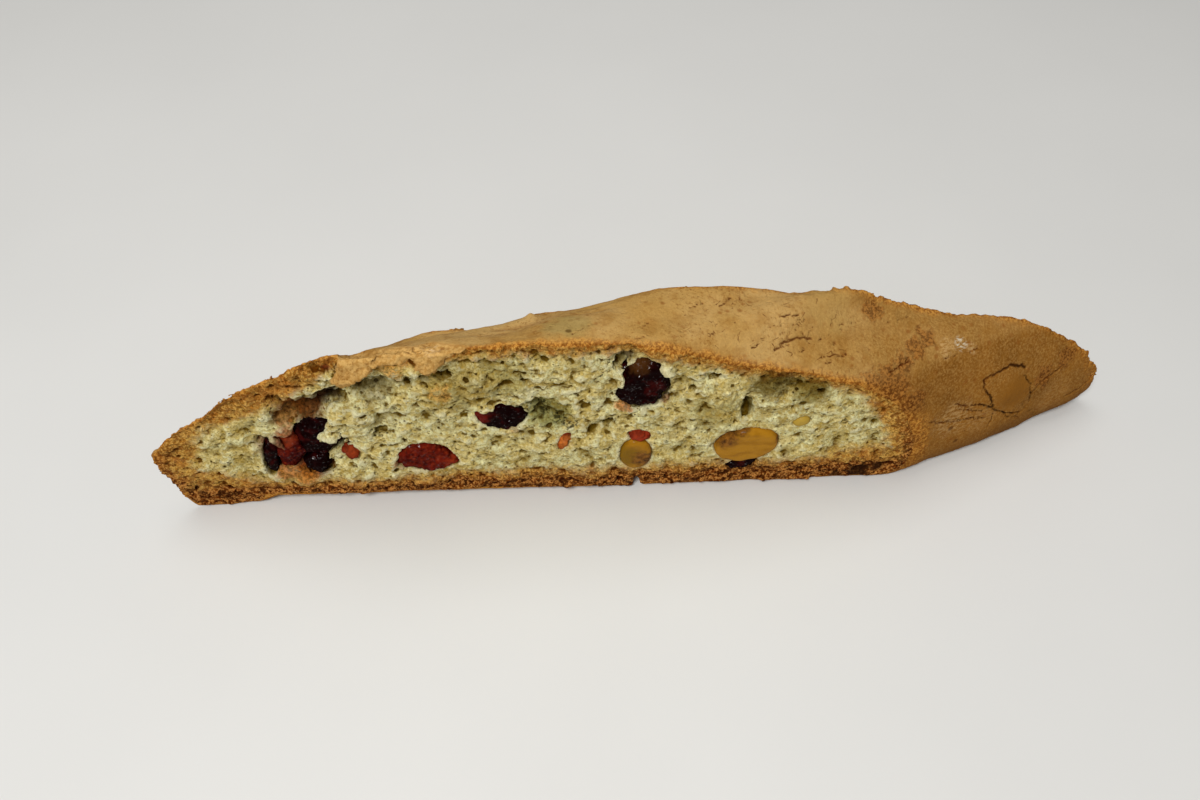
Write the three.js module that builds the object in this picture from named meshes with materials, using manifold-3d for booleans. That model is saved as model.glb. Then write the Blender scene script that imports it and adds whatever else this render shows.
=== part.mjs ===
// One slice of twice-baked biscotti: a long bias cut through a low domed loaf, with dried cranberries and
// pistachios showing at both cut faces.
// Millimetres, +Z up. X runs along the cut face, Y from the front cut to the back cut, and the slice stands
// on its baked base. The origin is under the middle of the slice, on the surface that it stands on.
//
// Every point below is written as [x, z] on a cut face, or as [x, y, z], measured from the place where the
// front cut face's left end meets the base. The finished group is moved to the origin at the end.

import * as THREE from "three";
import { mergeVertices } from "three/addons/utils/BufferGeometryUtils.js";
import Module from "manifold-3d";

const wasm = await Module();
wasm.setup();

// ---------------------------------------------------------------------------------------------------------
// Driving dimensions
// ---------------------------------------------------------------------------------------------------------

const THICKNESS = 15; // from the front cut to the back cut
const GAP = 0.35; // clearance round each fruit or nut in its pocket

// How finely the loaf is divided: along the cut face, through the slice, and up it.
const CELLS = { along: 70, through: 6, up: 18 };

// The front cut face. Its outline runs up the left nose, over the dome and down the right heel.
const FRONT = {
  nose: [[1.5, 0], [0.2, 4], [0, 7.6], [-1, 11.5], [-1, 14.6], [0.2, 17.8], [2.5, 20.6]],
  dome: [
    [2.5, 20.6], [6, 23.8], [11, 27.1], [15, 30.6], [20, 33.8], [25, 36.3], [30, 39], [34, 40.6], [42, 41],
    [52, 41.1], [62, 41.6], [72, 41.1], [80, 40.2], [88, 38], [96, 34.6], [104, 32.2], [112, 29.4],
    [118, 26.8], [124, 22.2],
  ],
  heel: [[125.5, 0], [128.8, 2.5], [129.8, 6], [129.6, 10], [128.3, 14.5], [126.4, 18.6], [124, 22.2]],
};

// The back cut face: the bias carries it along X, and the loaf is lower there.
const BACK = {
  nose: [[38, 0], [36.5, 4], [36, 8], [35.8, 12], [36.6, 16], [38.5, 19.5]],
  dome: [
    [38.5, 19.5], [40.2, 23.6], [43, 26.6], [46.5, 28.2], [51, 28.8], [56, 28.5], [60.5, 28.4], [63.2, 29.7],
    [66, 31.7], [71, 32.2], [75.5, 32.7], [78.5, 34.5], [83, 36], [90, 36.6], [98, 36.2], [103, 35.2],
    [108, 33.8], [116, 33.9], [120, 33.3], [122.8, 31.4], [128, 29.4], [131, 28.1], [136.4, 26.6], [142, 26],
    [147.2, 24.7], [153, 22.4], [159, 18.1],
  ],
  heel: [[163.5, 0], [166.5, 3.5], [166.8, 7], [165.6, 10.5], [163.1, 13.8], [159, 18.1]],
};

// ---------------------------------------------------------------------------------------------------------
// Noise and small helpers
// ---------------------------------------------------------------------------------------------------------

function lattice(i, j, k, seed) {
  let h = Math.imul(i, 374761393) ^ Math.imul(j, 668265263);
  h ^= Math.imul(k, 1274126177) ^ Math.imul(seed, 40503);
  h = Math.imul(h ^ (h >>> 15), 2246822519);
  h = Math.imul(h ^ (h >>> 13), 3266489917);
  return ((h ^ (h >>> 16)) >>> 0) / 2147483647.5 - 1;
}

const smooth = (t) => t * t * (3 - 2 * t);
const clamp01 = (t) => Math.min(1, Math.max(0, t));
const ramp = (low, high, v) => smooth(clamp01((v - low) / (high - low)));
const mix = (a, b, t) => a + (b - a) * t;

// Repeatable noise between -1 and 1: a smooth blend of the random numbers at the eight corners of a cell.
function noise(x, y, z, seed) {
  const [i, j, k] = [x, y, z].map(Math.floor);
  const [fx, fy, fz] = [smooth(x - i), smooth(y - j), smooth(z - k)];
  let sum = 0;
  for (const a of [0, 1])
    for (const b of [0, 1])
      for (const c of [0, 1])
        sum +=
          lattice(i + a, j + b, k + c, seed) * (a ? fx : 1 - fx) * (b ? fy : 1 - fy) * (c ? fz : 1 - fz);
  return sum;
}

// A soft-edged oval on a cut face: 1 in its middle and 0 outside.
function oval([x, z], { at, size, turn = 0 }) {
  const angle = THREE.MathUtils.degToRad(turn);
  const [dx, dz] = [x - at[0], z - at[1]];
  const along = (dx * Math.cos(angle) + dz * Math.sin(angle)) / size[0];
  const across = (dz * Math.cos(angle) - dx * Math.sin(angle)) / size[1];
  return smooth(clamp01(1.35 - Math.hypot(along, across)));
}

function solidFrom(geometry) {
  const bare = geometry.clone();
  bare.deleteAttribute("normal");
  bare.deleteAttribute("uv");
  const merged = mergeVertices(bare, 1e-4);
  const mesh = new wasm.Mesh({
    numProp: 3,
    vertProperties: merged.attributes.position.array,
    triVerts: new Uint32Array(merged.index.array),
  });
  return new wasm.Manifold(mesh);
}

function geometryFrom(solid) {
  const { vertProperties, triVerts } = solid.getMesh();
  return new THREE.BufferGeometry()
    .setAttribute("position", new THREE.BufferAttribute(vertProperties, 3))
    .setIndex(new THREE.BufferAttribute(triVerts, 1));
}

// Loose scraps that a cut leaves are dropped.
const largest = (solid) => solid.decompose().sort((a, b) => b.volume() - a.volume())[0];

function moveVertices(geometry, move) {
  const place = geometry.attributes.position;
  const point = new THREE.Vector3();
  for (let i = 0; i < place.count; i++) {
    point.fromBufferAttribute(place, i);
    place.setXYZ(i, ...move(point));
  }
  return geometry;
}

// ---------------------------------------------------------------------------------------------------------
// The loaf's outline at the front and at the back cut
// ---------------------------------------------------------------------------------------------------------

const curve = (points) => new THREE.SplineCurve(points.map(([x, z]) => new THREE.Vector2(x, z)));

// A patch that fills the outline: across goes from nose to heel, up from the base to the dome.
function facePatch({ nose, dome, heel }) {
  const [noseCurve, domeCurve, heelCurve] = [nose, dome, heel].map(curve);
  const [base0, base1] = [noseCurve.getPointAt(0), heelCurve.getPointAt(0)];
  const [top0, top1] = [domeCurve.getPointAt(0), domeCurve.getPointAt(1)];
  return (across, up) => {
    const base = base0.clone().lerp(base1, across);
    const top = domeCurve.getPointAt(across);
    const left = noseCurve.getPointAt(up);
    const right = heelCurve.getPointAt(up);
    const flat = base0.clone().lerp(base1, across).lerp(top0.clone().lerp(top1, across), up);
    return base.lerp(top, up).add(left.lerp(right, across)).sub(flat);
  };
}

const frontPatch = facePatch(FRONT);
const backPatch = facePatch(BACK);

// ---------------------------------------------------------------------------------------------------------
// Relief
// ---------------------------------------------------------------------------------------------------------

// Hollows and mounds that the knife tore in the front face. A depth above 0 goes into the crumb.
const FRONT_TEARS = [
  { at: [28, 30.2], size: [6.2, 2.4], turn: 4, depth: 3.4 }, // cave over the large cranberry
  { at: [25.6, 26.4], size: [3.2, 4.2], turn: -10, depth: 2.2 }, // its stained wall
  { at: [42, 33], size: [8.5, 2.4], turn: 6, depth: 2.2 }, // shade under the torn crust
  { at: [36, 25.5], size: [4.5, 3], turn: 35, depth: -1 }, // mound right of the cranberry
  { at: [40.5, 23.5], size: [3.4, 3.6], turn: 0, depth: 0.9 },
  { at: [66, 24.2], size: [4.6, 2.2], turn: -30, depth: 1.7 }, // green-stained hollow
  { at: [74.8, 18.4], size: [2.8, 1.4], turn: 40, depth: 1.7 },
  { at: [79.4, 36.4], size: [2.2, 2.4], turn: 0, depth: 3.6 }, // hole over the round cranberry
  { at: [87.6, 29.8], size: [1.8, 2.4], turn: 0, depth: 1.1 },
  { at: [93.6, 30.8], size: [2, 1.2], turn: 25, depth: 1.7 },
  { at: [98.9, 22.2], size: [0.9, 2.4], turn: -5, depth: 2.2 },
  { at: [95, 26], size: [3.6, 3], turn: 0, depth: -0.7 },
  { at: [107, 27.4], size: [6, 2.6], turn: -28, depth: 1.8 }, // smooth dent under the right shoulder
  { at: [120.8, 16.2], size: [1.5, 1], turn: -40, depth: 1.2 },
  { at: [36.5, 36.9], size: [3.6, 3], turn: -20, depth: -1.5 }, // torn crust that folds over the face
  { at: [43, 38], size: [4.5, 2.2], turn: -8, depth: -1.2 },
  { at: [49, 37.6], size: [3, 2.3], turn: 0, depth: -1.3 },
];

const BACK_TEARS = [
  { at: [62, 22], size: [7, 2], turn: 8, depth: 2 },
  { at: [84, 27], size: [3.5, 2.4], turn: -20, depth: 2.2 },
  { at: [104, 16], size: [5, 3], turn: 15, depth: -0.9 },
  { at: [121, 25], size: [6, 2], turn: -12, depth: 1.9 },
  { at: [143, 14], size: [3, 3.4], turn: 0, depth: 1.6 },
];

// The crumb between the tears: each layer is noise of one size, a little below the knife's plane.
const CRUMB_LAYERS = [
  { wide: 9, high: 6, depth: 0.35 }, // broad undulation
  { wide: 2.6, high: 2.2, depth: 0.3 }, // clods
  { wide: 1.5, high: 1.5, depth: 0.18 }, // single crumbs
];
const CRUMB_BELOW_CUT = 0.2;
// How much of the crumb's relief the crust's edge keeps, and the edge's share of a face.
const RIM = { share: 0.35, width: 0.06 };
const [FRONT_SEED, BACK_SEED] = [3, 17];

// How deep a point of a cut face lies below the plane of the cut.
function crumbDepth(x, z, tears, seed) {
  const layers = CRUMB_LAYERS.map(({ wide, high, depth }) => depth * noise(x / wide, z / high, wide, seed));
  const torn = tears.map((tear) => tear.depth * oval([x, z], tear));
  return [...layers, ...torn].reduce((sum, depth) => sum + depth, CRUMB_BELOW_CUT);
}

// Swellings of the crust over a nut or a fold, as round bumps about a point.
const CRUST_SWELLINGS = [
  { at: [146.4, 7.6, 14.6], radius: 4, height: 1.3 }, // whole nut under the heel's crust
  { at: [145, 6.5, 2], radius: 12, height: 1.3 }, // the heel's foot bulges outwards
  { at: [152, 8.5, 2], radius: 3.4, height: 1.4 },
  { at: [161, 12.5, 4], radius: 4.5, height: 1.6 },
  { at: [69.5, 5, 39.5], radius: 4, height: 0.6 }, // pistachio under the dome
  { at: [128, 9, 29], radius: 5, height: -0.7 }, // hollow between dome and heel
  { at: [61.5, 8, 37.5], radius: 6, height: -2 }, // folds left of the nut and behind it
  { at: [75.3, 11, 36.5], radius: 5, height: -1.8 },
];

const CRUST_LUMPS = [
  { wide: 13, height: 0.45, seed: 31 },
  { wide: 4.5, height: 0.16, seed: 37 },
];
const CUT_EDGE = 0.2; // share of the thickness over which swellings die out at each cut

// How far the crust stands out from the straight line between its two cut edges.
function crustSwell(point, through) {
  const lumps = CRUST_LUMPS.map(({ wide, height, seed }) => {
    const { x, y, z } = point.clone().divideScalar(wide);
    return height * noise(x, y, z, seed);
  });
  const bumps = CRUST_SWELLINGS.map(({ at, radius, height }) => {
    const away = point.distanceTo(new THREE.Vector3(...at)) / radius;
    return height * Math.exp(-1.6 * away * away);
  });
  const swollen = [...lumps, ...bumps].reduce((sum, height) => sum + height);
  return swollen * ramp(0, CUT_EDGE, through) * ramp(0, CUT_EDGE, 1 - through);
}

// The base is baked flat. Along the front cut its edge is worn away, most of all just right of the nose.
const CHIP = { starts: 13, full: 15.5, ends: 112, height: 2.4, reach: 5, fades: 0.3 };

function chippedBase(x, y, up) {
  const along = ramp(CHIP.starts, CHIP.full, x) * clamp01((CHIP.ends - x) / (CHIP.ends - CHIP.full)) ** 1.2;
  return CHIP.height * along * (1 - ramp(0, CHIP.reach, y)) * (1 - ramp(0, CHIP.fades, up));
}

// ---------------------------------------------------------------------------------------------------------
// The loaf slice
// ---------------------------------------------------------------------------------------------------------

// A place in the slice: across from nose to heel, through from front to back, up from base to dome.
function placeInSlice(across, through, up) {
  const flat = frontPatch(across, up).lerp(backPatch(across, up), through);
  return new THREE.Vector3(flat.x, through * THICKNESS, flat.y);
}

// The crust's outward direction, from a short step round the outline and a long one along the loaf.
function crustNormal(across, through, up) {
  const step = 0.01;
  const alongLoaf = placeInSlice(across, 1, up).sub(placeInSlice(across, 0, up));
  const [a0, a1] = [clamp01(across - step), clamp01(across + step)];
  const [u0, u1] = [clamp01(up - step), clamp01(up + step)];
  const overDome = placeInSlice(a1, through, 1).sub(placeInSlice(a0, through, 1));
  const downSide = placeInSlice(across, through, u0).sub(placeInSlice(across, through, u1));
  if (up < 1 && across === 0) downSide.negate();
  return (up === 1 ? overDome : downSide).cross(alongLoaf).normalize();
}

// A box is divided into cells, and each of its points is carried to its place in the slice.
function sliceGeometry() {
  const box = new THREE.BoxGeometry(1, 1, 1, CELLS.along, CELLS.through, CELLS.up);
  return moveVertices(box, (corner) => {
    const [across, through, up] = [corner.x + 0.5, corner.y + 0.5, corner.z + 0.5];
    const point = placeInSlice(across, through, up);

    // The crust swells outwards, and at its foot only sideways, so that the base stays flat.
    if (across === 0 || across === 1 || up === 1) {
      const swell = crustNormal(across, through, up).multiplyScalar(crustSwell(point, through));
      if (up === 0) swell.z = 0;
      point.add(swell);
    }
    point.z += chippedBase(point.x, point.y, up);

    // Both cut faces get their crumb, which is shallower where it runs out into the crust's edge.
    const fromRim = Math.min(across, 1 - across, (1 - up) / 2, up / 2);
    const share = mix(RIM.share, 1, ramp(0, RIM.width, fromRim));
    if (through === 0) point.y += share * crumbDepth(point.x, point.z, FRONT_TEARS, FRONT_SEED);
    if (through === 1) point.y -= share * crumbDepth(point.x, point.z, BACK_TEARS, BACK_SEED);
    return point.toArray();
  });
}

// ---------------------------------------------------------------------------------------------------------
// Fruit and nuts
// ---------------------------------------------------------------------------------------------------------

const CRANBERRY = new THREE.MeshStandardMaterial({ color: 0x2a0a0c, roughness: 0.35, metalness: 0 });
const RED_CRANBERRY = new THREE.MeshStandardMaterial({ color: 0x7a1410, roughness: 0.35, metalness: 0 });
const PISTACHIO = new THREE.MeshStandardMaterial({ color: 0xa8761f, roughness: 0.5, metalness: 0 });
const BAKED_DOUGH = new THREE.MeshStandardMaterial({ color: 0xc9a468, roughness: 0.9, metalness: 0 });

// at is the middle and size the half lengths along, through and across; turn lifts the right end, in degrees.
// taper narrows the right end, arch bends both ends down, wrinkle is the depth of its folds as a share of its
// size, and cut is where the knife left it flat, measured from its own cut face.
const FRONT_FRUIT = {
  cranberry_left_folded: {
    at: [28.2, 3, 18.9], size: [7, 2.3, 4.1], turn: 58, wrinkle: 0.16, detail: 2, material: CRANBERRY,
  },
  cranberry_left_red: {
    at: [22.4, 2.2, 15.2], size: [5, 1.9, 2.3], turn: 74, wrinkle: 0.12, detail: 2, cut: 0.4,
    material: RED_CRANBERRY,
  },
  cranberry_left_sliver: {
    at: [19.2, 1.9, 14.6], size: [5.9, 1.6, 1.1], turn: 78, wrinkle: 0.1, detail: 2, cut: 0.5,
    material: CRANBERRY,
  },
  cranberry_left_lump: {
    at: [26, 1.8, 11.5], size: [1.9, 1.8, 1.9], wrinkle: 0.14, detail: 2, cut: 0.3, material: CRANBERRY,
  },
  cranberry_left_chip: {
    at: [32.9, 0.8, 15.3], size: [1.6, 1, 0.9], turn: -60, wrinkle: 0.1, detail: 1, cut: 0,
    material: RED_CRANBERRY,
  },
  cranberry_low_red: {
    at: [45.4, 1.6, 12.6], size: [5.1, 2.6, 3.7], turn: -8, wrinkle: 0.1, taper: 0.3, arch: 1.9, detail: 2,
    cut: 0.1, material: RED_CRANBERRY,
  },
  cranberry_middle: {
    at: [58.6, 1.5, 22.8], size: [3.7, 2.4, 2.7], turn: -6, wrinkle: 0.14, taper: -0.3, detail: 2, cut: 0.3,
    material: CRANBERRY,
  },
  cranberry_shred: {
    at: [68.6, 0.7, 15.3], size: [2.5, 0.9, 0.6], turn: 70, wrinkle: 0.1, detail: 1, cut: 0,
    material: RED_CRANBERRY,
  },
  cranberry_round: {
    at: [82, 1.9, 29.8], size: [5.9, 3.2, 3.9], turn: 78, wrinkle: 0.1, taper: 0.14, detail: 2, cut: -0.4,
    material: CRANBERRY,
  },
  cranberry_over_nut: {
    at: [81.3, 0.9, 16], size: [1.7, 1.2, 1.1], turn: -30, wrinkle: 0.1, detail: 1, cut: 0,
    material: RED_CRANBERRY,
  },
  pistachio_middle: {
    at: [80.8, 0.6, 10.7], size: [2.5, 2.6, 3.9], wrinkle: 0.04, detail: 2, cut: -0.2, material: PISTACHIO,
  },
  pistachio_right: {
    at: [99.7, 0.7, 12.1], size: [5.4, 3.8, 4.2], turn: 14, wrinkle: 0.04, detail: 2, cut: -0.4,
    material: PISTACHIO,
  },
  cranberry_under_nut: {
    at: [99.6, 1.1, 6.2], size: [2.8, 1.6, 1.3], turn: 12, wrinkle: 0.14, detail: 1, cut: 0.2,
    material: CRANBERRY,
  },
  pistachio_chip: {
    at: [108.4, 0.6, 18.1], size: [1.3, 1, 0.9], turn: 20, wrinkle: 0.06, detail: 1, cut: -0.1,
    material: PISTACHIO,
  },
};

const BACK_FRUIT = {
  cranberry_back_low: {
    at: [66, 1.6, 11.5], size: [4.6, 2.6, 3], turn: 24, wrinkle: 0.12, taper: 0.2, detail: 2, cut: 0.2,
    material: RED_CRANBERRY,
  },
  cranberry_back_high: {
    at: [92, 1.8, 25.5], size: [4.4, 2.6, 3.2], turn: -32, wrinkle: 0.14, taper: 0.2, detail: 2, cut: 0.2,
    material: CRANBERRY,
  },
  pistachio_back: {
    at: [112, 0.8, 10], size: [4.9, 3.4, 3.8], turn: -18, wrinkle: 0.04, detail: 2, cut: -0.3,
    material: PISTACHIO,
  },
  cranberry_back_right: {
    at: [134, 1.5, 17.5], size: [3.8, 2.4, 2.6], turn: 40, wrinkle: 0.14, detail: 2, cut: 0.2,
    material: CRANBERRY,
  },
  pistachio_back_chip: {
    at: [82, 0.7, 17], size: [2.2, 1.6, 1.5], turn: 35, wrinkle: 0.05, detail: 1, cut: -0.1,
    material: PISTACHIO,
  },
};

const FRUIT_FOLDS = 1.9; // wrinkles to each half length

// The wrinkled oval of one piece. A pocket is the same form, larger by grow, with its front half drawn out
// through the cut face so that the pocket is open there.
function pieceGeometry(piece, seed, grow = 0, drawn = 1) {
  const { size, turn = 0, wrinkle, taper = 0, arch = 0, detail } = piece;
  const ball = new THREE.IcosahedronGeometry(1, detail);
  moveVertices(ball, ({ x, y, z }) => {
    const fold = 1 + wrinkle * noise(x * FRUIT_FOLDS, y * FRUIT_FOLDS, z * FRUIT_FOLDS, seed);
    const narrow = 1 - taper * x;
    const front = y < 0 ? drawn : 1;
    return [
      x * fold * (size[0] + grow),
      y * fold * (size[1] + grow) * front,
      z * fold * narrow * (size[2] + grow) - arch * x * x,
    ];
  });
  return ball.rotateY(-THREE.MathUtils.degToRad(turn));
}

// Turns a piece that was made for the front face round to the back one: its own y then runs inwards there.
function placePiece(geometry, piece, onBack) {
  const [x, inward, z] = piece.at;
  if (onBack) geometry.rotateZ(Math.PI).translate(x, THICKNESS - inward, z);
  else geometry.translate(x, inward, z);
  return geometry;
}

function cutFlat(geometry, piece, onBack) {
  if (piece.cut === undefined) return geometry;
  return moveVertices(geometry, ({ x, y, z }) => {
    const flat = onBack ? Math.min(y, THICKNESS - piece.cut) : Math.max(y, piece.cut);
    return [x, flat, z];
  });
}

const POCKET_DRAWN = 4; // how many times longer a pocket is towards the cut face

// Makes the fruit of one cut face. taken is the room of them all, clearance included.
function makePieces(pieces, onBack, firstSeed) {
  const made = [];
  let taken = null;
  Object.entries(pieces).forEach(([name, piece], index) => {
    const seed = firstSeed + index;
    const body = cutFlat(placePiece(pieceGeometry(piece, seed), piece, onBack), piece, onBack);
    const room = placePiece(pieceGeometry(piece, seed, GAP), piece, onBack);
    const pocket = placePiece(pieceGeometry(piece, seed, GAP, POCKET_DRAWN), piece, onBack);
    // Where two pieces meet, the later one is cut by the earlier one and its clearance.
    const solid = taken ? largest(solidFrom(body).subtract(taken)) : solidFrom(body);
    taken = taken ? taken.add(solidFrom(room)) : solidFrom(room);
    made.push({ name, material: piece.material, solid, pocket: solidFrom(pocket) });
  });
  return { made, taken };
}

// ---------------------------------------------------------------------------------------------------------
// Crumb tongue and the notch in the base
// ---------------------------------------------------------------------------------------------------------

// Crumb that stayed in front of the large cranberry.
const TONGUE = {
  at: [31.6, 0.2, 21.2], size: [4.2, 0.9, 2.1], turn: 36, wrinkle: 0.28, detail: 2, seed: 91,
};

// A wedge broken out of the base's front edge.
const NOTCH = { x: 80.9, halfWidth: 1.4, tip: 0.2, height: 4.8, depth: 3.4, beyond: 2 };

function notchGeometry() {
  const wedge = new THREE.Shape([
    new THREE.Vector2(-NOTCH.halfWidth, -NOTCH.beyond),
    new THREE.Vector2(NOTCH.halfWidth, -NOTCH.beyond),
    new THREE.Vector2(NOTCH.tip, NOTCH.height),
    new THREE.Vector2(-NOTCH.tip, NOTCH.height),
  ]);
  const length = NOTCH.depth + NOTCH.beyond;
  return new THREE.ExtrudeGeometry(wedge, { depth: length, bevelEnabled: false, steps: 1 })
    .rotateX(Math.PI / 2)
    .translate(NOTCH.x, NOTCH.depth, 0);
}

// ---------------------------------------------------------------------------------------------------------
// Assembly
// ---------------------------------------------------------------------------------------------------------

const front = makePieces(FRONT_FRUIT, false, 50);
const back = makePieces(BACK_FRUIT, true, 90);
const pieces = [...front.made, ...back.made];

function biscuitSolid() {
  let solid = solidFrom(sliceGeometry()).subtract(solidFrom(notchGeometry()));
  for (const { pocket } of pieces) solid = solid.subtract(pocket);
  const tongue = solidFrom(placePiece(pieceGeometry(TONGUE, TONGUE.seed), TONGUE, false));
  return largest(solid.add(tongue.subtract(front.taken)));
}

const slice = new THREE.Group();
const biscuit = new THREE.Mesh(geometryFrom(biscuitSolid()), BAKED_DOUGH);
biscuit.name = "biscuit";
slice.add(biscuit);
for (const { name, material, solid } of pieces) {
  const mesh = new THREE.Mesh(geometryFrom(solid), material.clone());
  mesh.name = name;
  slice.add(mesh);
}

// The origin goes under the middle of the slice's box.
const box = new THREE.Box3().setFromObject(slice);
const middle = box.getCenter(new THREE.Vector3());
slice.position.set(-middle.x, -middle.y, -box.min.z);

export default slice;
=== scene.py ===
# %% [markdown]
# # A slice of biscotti
# Biscotti are baked twice: a low loaf is baked, cut on the slant into long slices, and the slices are
# baked again. One slice shows a smooth brown crust round its edge, a pale open crumb on both cut faces,
# and fruit and nuts that the knife went through. Every piece here is a mesh at its true size, in metres,
# standing on z = 0.

# %% Load the slice that the dressing follows
import math
import time

import bpy
import numpy as np
from mathutils import Matrix, Vector, kdtree
from mathutils import noise as turbulence


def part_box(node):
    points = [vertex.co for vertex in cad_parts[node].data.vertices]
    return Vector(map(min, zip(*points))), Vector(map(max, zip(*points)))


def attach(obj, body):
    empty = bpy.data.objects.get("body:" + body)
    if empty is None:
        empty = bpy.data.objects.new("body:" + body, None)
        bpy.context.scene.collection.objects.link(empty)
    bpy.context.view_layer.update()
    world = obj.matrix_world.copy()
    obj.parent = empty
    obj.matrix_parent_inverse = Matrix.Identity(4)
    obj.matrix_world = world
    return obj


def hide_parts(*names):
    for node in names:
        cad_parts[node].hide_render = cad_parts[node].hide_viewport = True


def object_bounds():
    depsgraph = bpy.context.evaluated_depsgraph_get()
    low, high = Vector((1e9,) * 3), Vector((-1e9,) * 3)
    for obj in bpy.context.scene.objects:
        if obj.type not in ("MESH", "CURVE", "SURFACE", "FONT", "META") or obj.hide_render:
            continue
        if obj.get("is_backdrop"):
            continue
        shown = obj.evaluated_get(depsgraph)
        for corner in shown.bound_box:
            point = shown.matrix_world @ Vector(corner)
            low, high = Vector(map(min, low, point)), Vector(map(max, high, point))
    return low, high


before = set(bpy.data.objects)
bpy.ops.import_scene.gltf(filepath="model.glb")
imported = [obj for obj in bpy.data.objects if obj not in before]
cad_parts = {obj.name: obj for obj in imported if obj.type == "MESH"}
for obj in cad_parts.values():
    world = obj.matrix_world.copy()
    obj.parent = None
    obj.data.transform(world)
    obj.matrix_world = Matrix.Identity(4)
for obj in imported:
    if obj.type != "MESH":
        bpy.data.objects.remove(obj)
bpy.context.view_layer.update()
MM = 0.001
started = time.time()


def clock(words):
    print(f"{time.time() - started:6.1f} s  {words}")


# %% [markdown]
# Places on the slice are easiest to give from the corner where the front cut meets the base at its left
# end: along the cut, into the slice, and up, in millimetres. The plain slice's own box fixes that corner,
# because the nose stands a little outside it and the crumb a little in front of it.

# %% The corner that places are measured from
NOSE_OUT, CRUMB_OUT = 1.14, 1.47
low_corner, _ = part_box("biscuit")
HOME = low_corner + Vector((NOSE_OUT, CRUMB_OUT, 0)) * MM


def at(along, into, up):
    return HOME + Vector((along, into, up)) * MM


clock(f"corner at {[round(v / MM, 2) for v in HOME]} mm")

# %% [markdown]
# The slice is seen from in front and well above, with the left end a little lower in the frame. A
# camera is placed by a frame of three directions, here made from its tilt, its turn and its roll.

# %% Camera
CAMERA_PLACE = Vector((-8.76, -103.29, 154.88)) * MM
CAMERA_DOWN = math.radians(53.1)
CAMERA_TURN = math.radians(0.5455)
CAMERA_ROLL = math.radians(-2.16)
LENS = 30.18
SENSOR = 36

over_ground = math.cos(CAMERA_DOWN)
forward = Vector((over_ground * math.sin(CAMERA_TURN), over_ground * math.cos(CAMERA_TURN),
                  -math.sin(CAMERA_DOWN)))
level = forward.cross(Vector((0, 0, 1))).normalized()
upright = level.cross(forward)
side = level * math.cos(CAMERA_ROLL) + upright * math.sin(CAMERA_ROLL)
top = upright * math.cos(CAMERA_ROLL) - level * math.sin(CAMERA_ROLL)
camera_data = bpy.data.cameras.new("camera")
camera_data.lens, camera_data.sensor_width = LENS, SENSOR
camera_data.clip_start = 0.005
camera = bpy.data.objects.new("camera", camera_data)
camera.matrix_world = Matrix((side, top, -forward)).transposed().to_4x4()
camera.location = CAMERA_PLACE
bpy.context.scene.collection.objects.link(camera)
bpy.context.scene.camera = camera
clock(f"camera {camera.location.length / MM:.0f} mm away, lens {LENS} mm")

# %% [markdown]
# A finish is a small net of nodes. These helpers keep the net readable: each adds one node and gives back
# its output, and anything that is already an output is joined instead of typed in.
#
# A finish with hundreds of nodes has a limit. Cycles works through them in the order they were made,
# keeps each value that is still needed in one of 255 slots, and draws the piece black when they run out.
# So a mapping is made before the texture that reads it, and the way to a place comes from a round
# gradient.

# %% Helpers for finishes


def srgb(red, green, blue):
    """A colour as picked on a screen, 0 to 255, turned into the light values that a shader works in."""
    light = [c / 255 for c in (red, green, blue)]
    return (*[c / 12.92 if c < 0.04045 else ((c + 0.055) / 1.055) ** 2.4 for c in light], 1)


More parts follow.
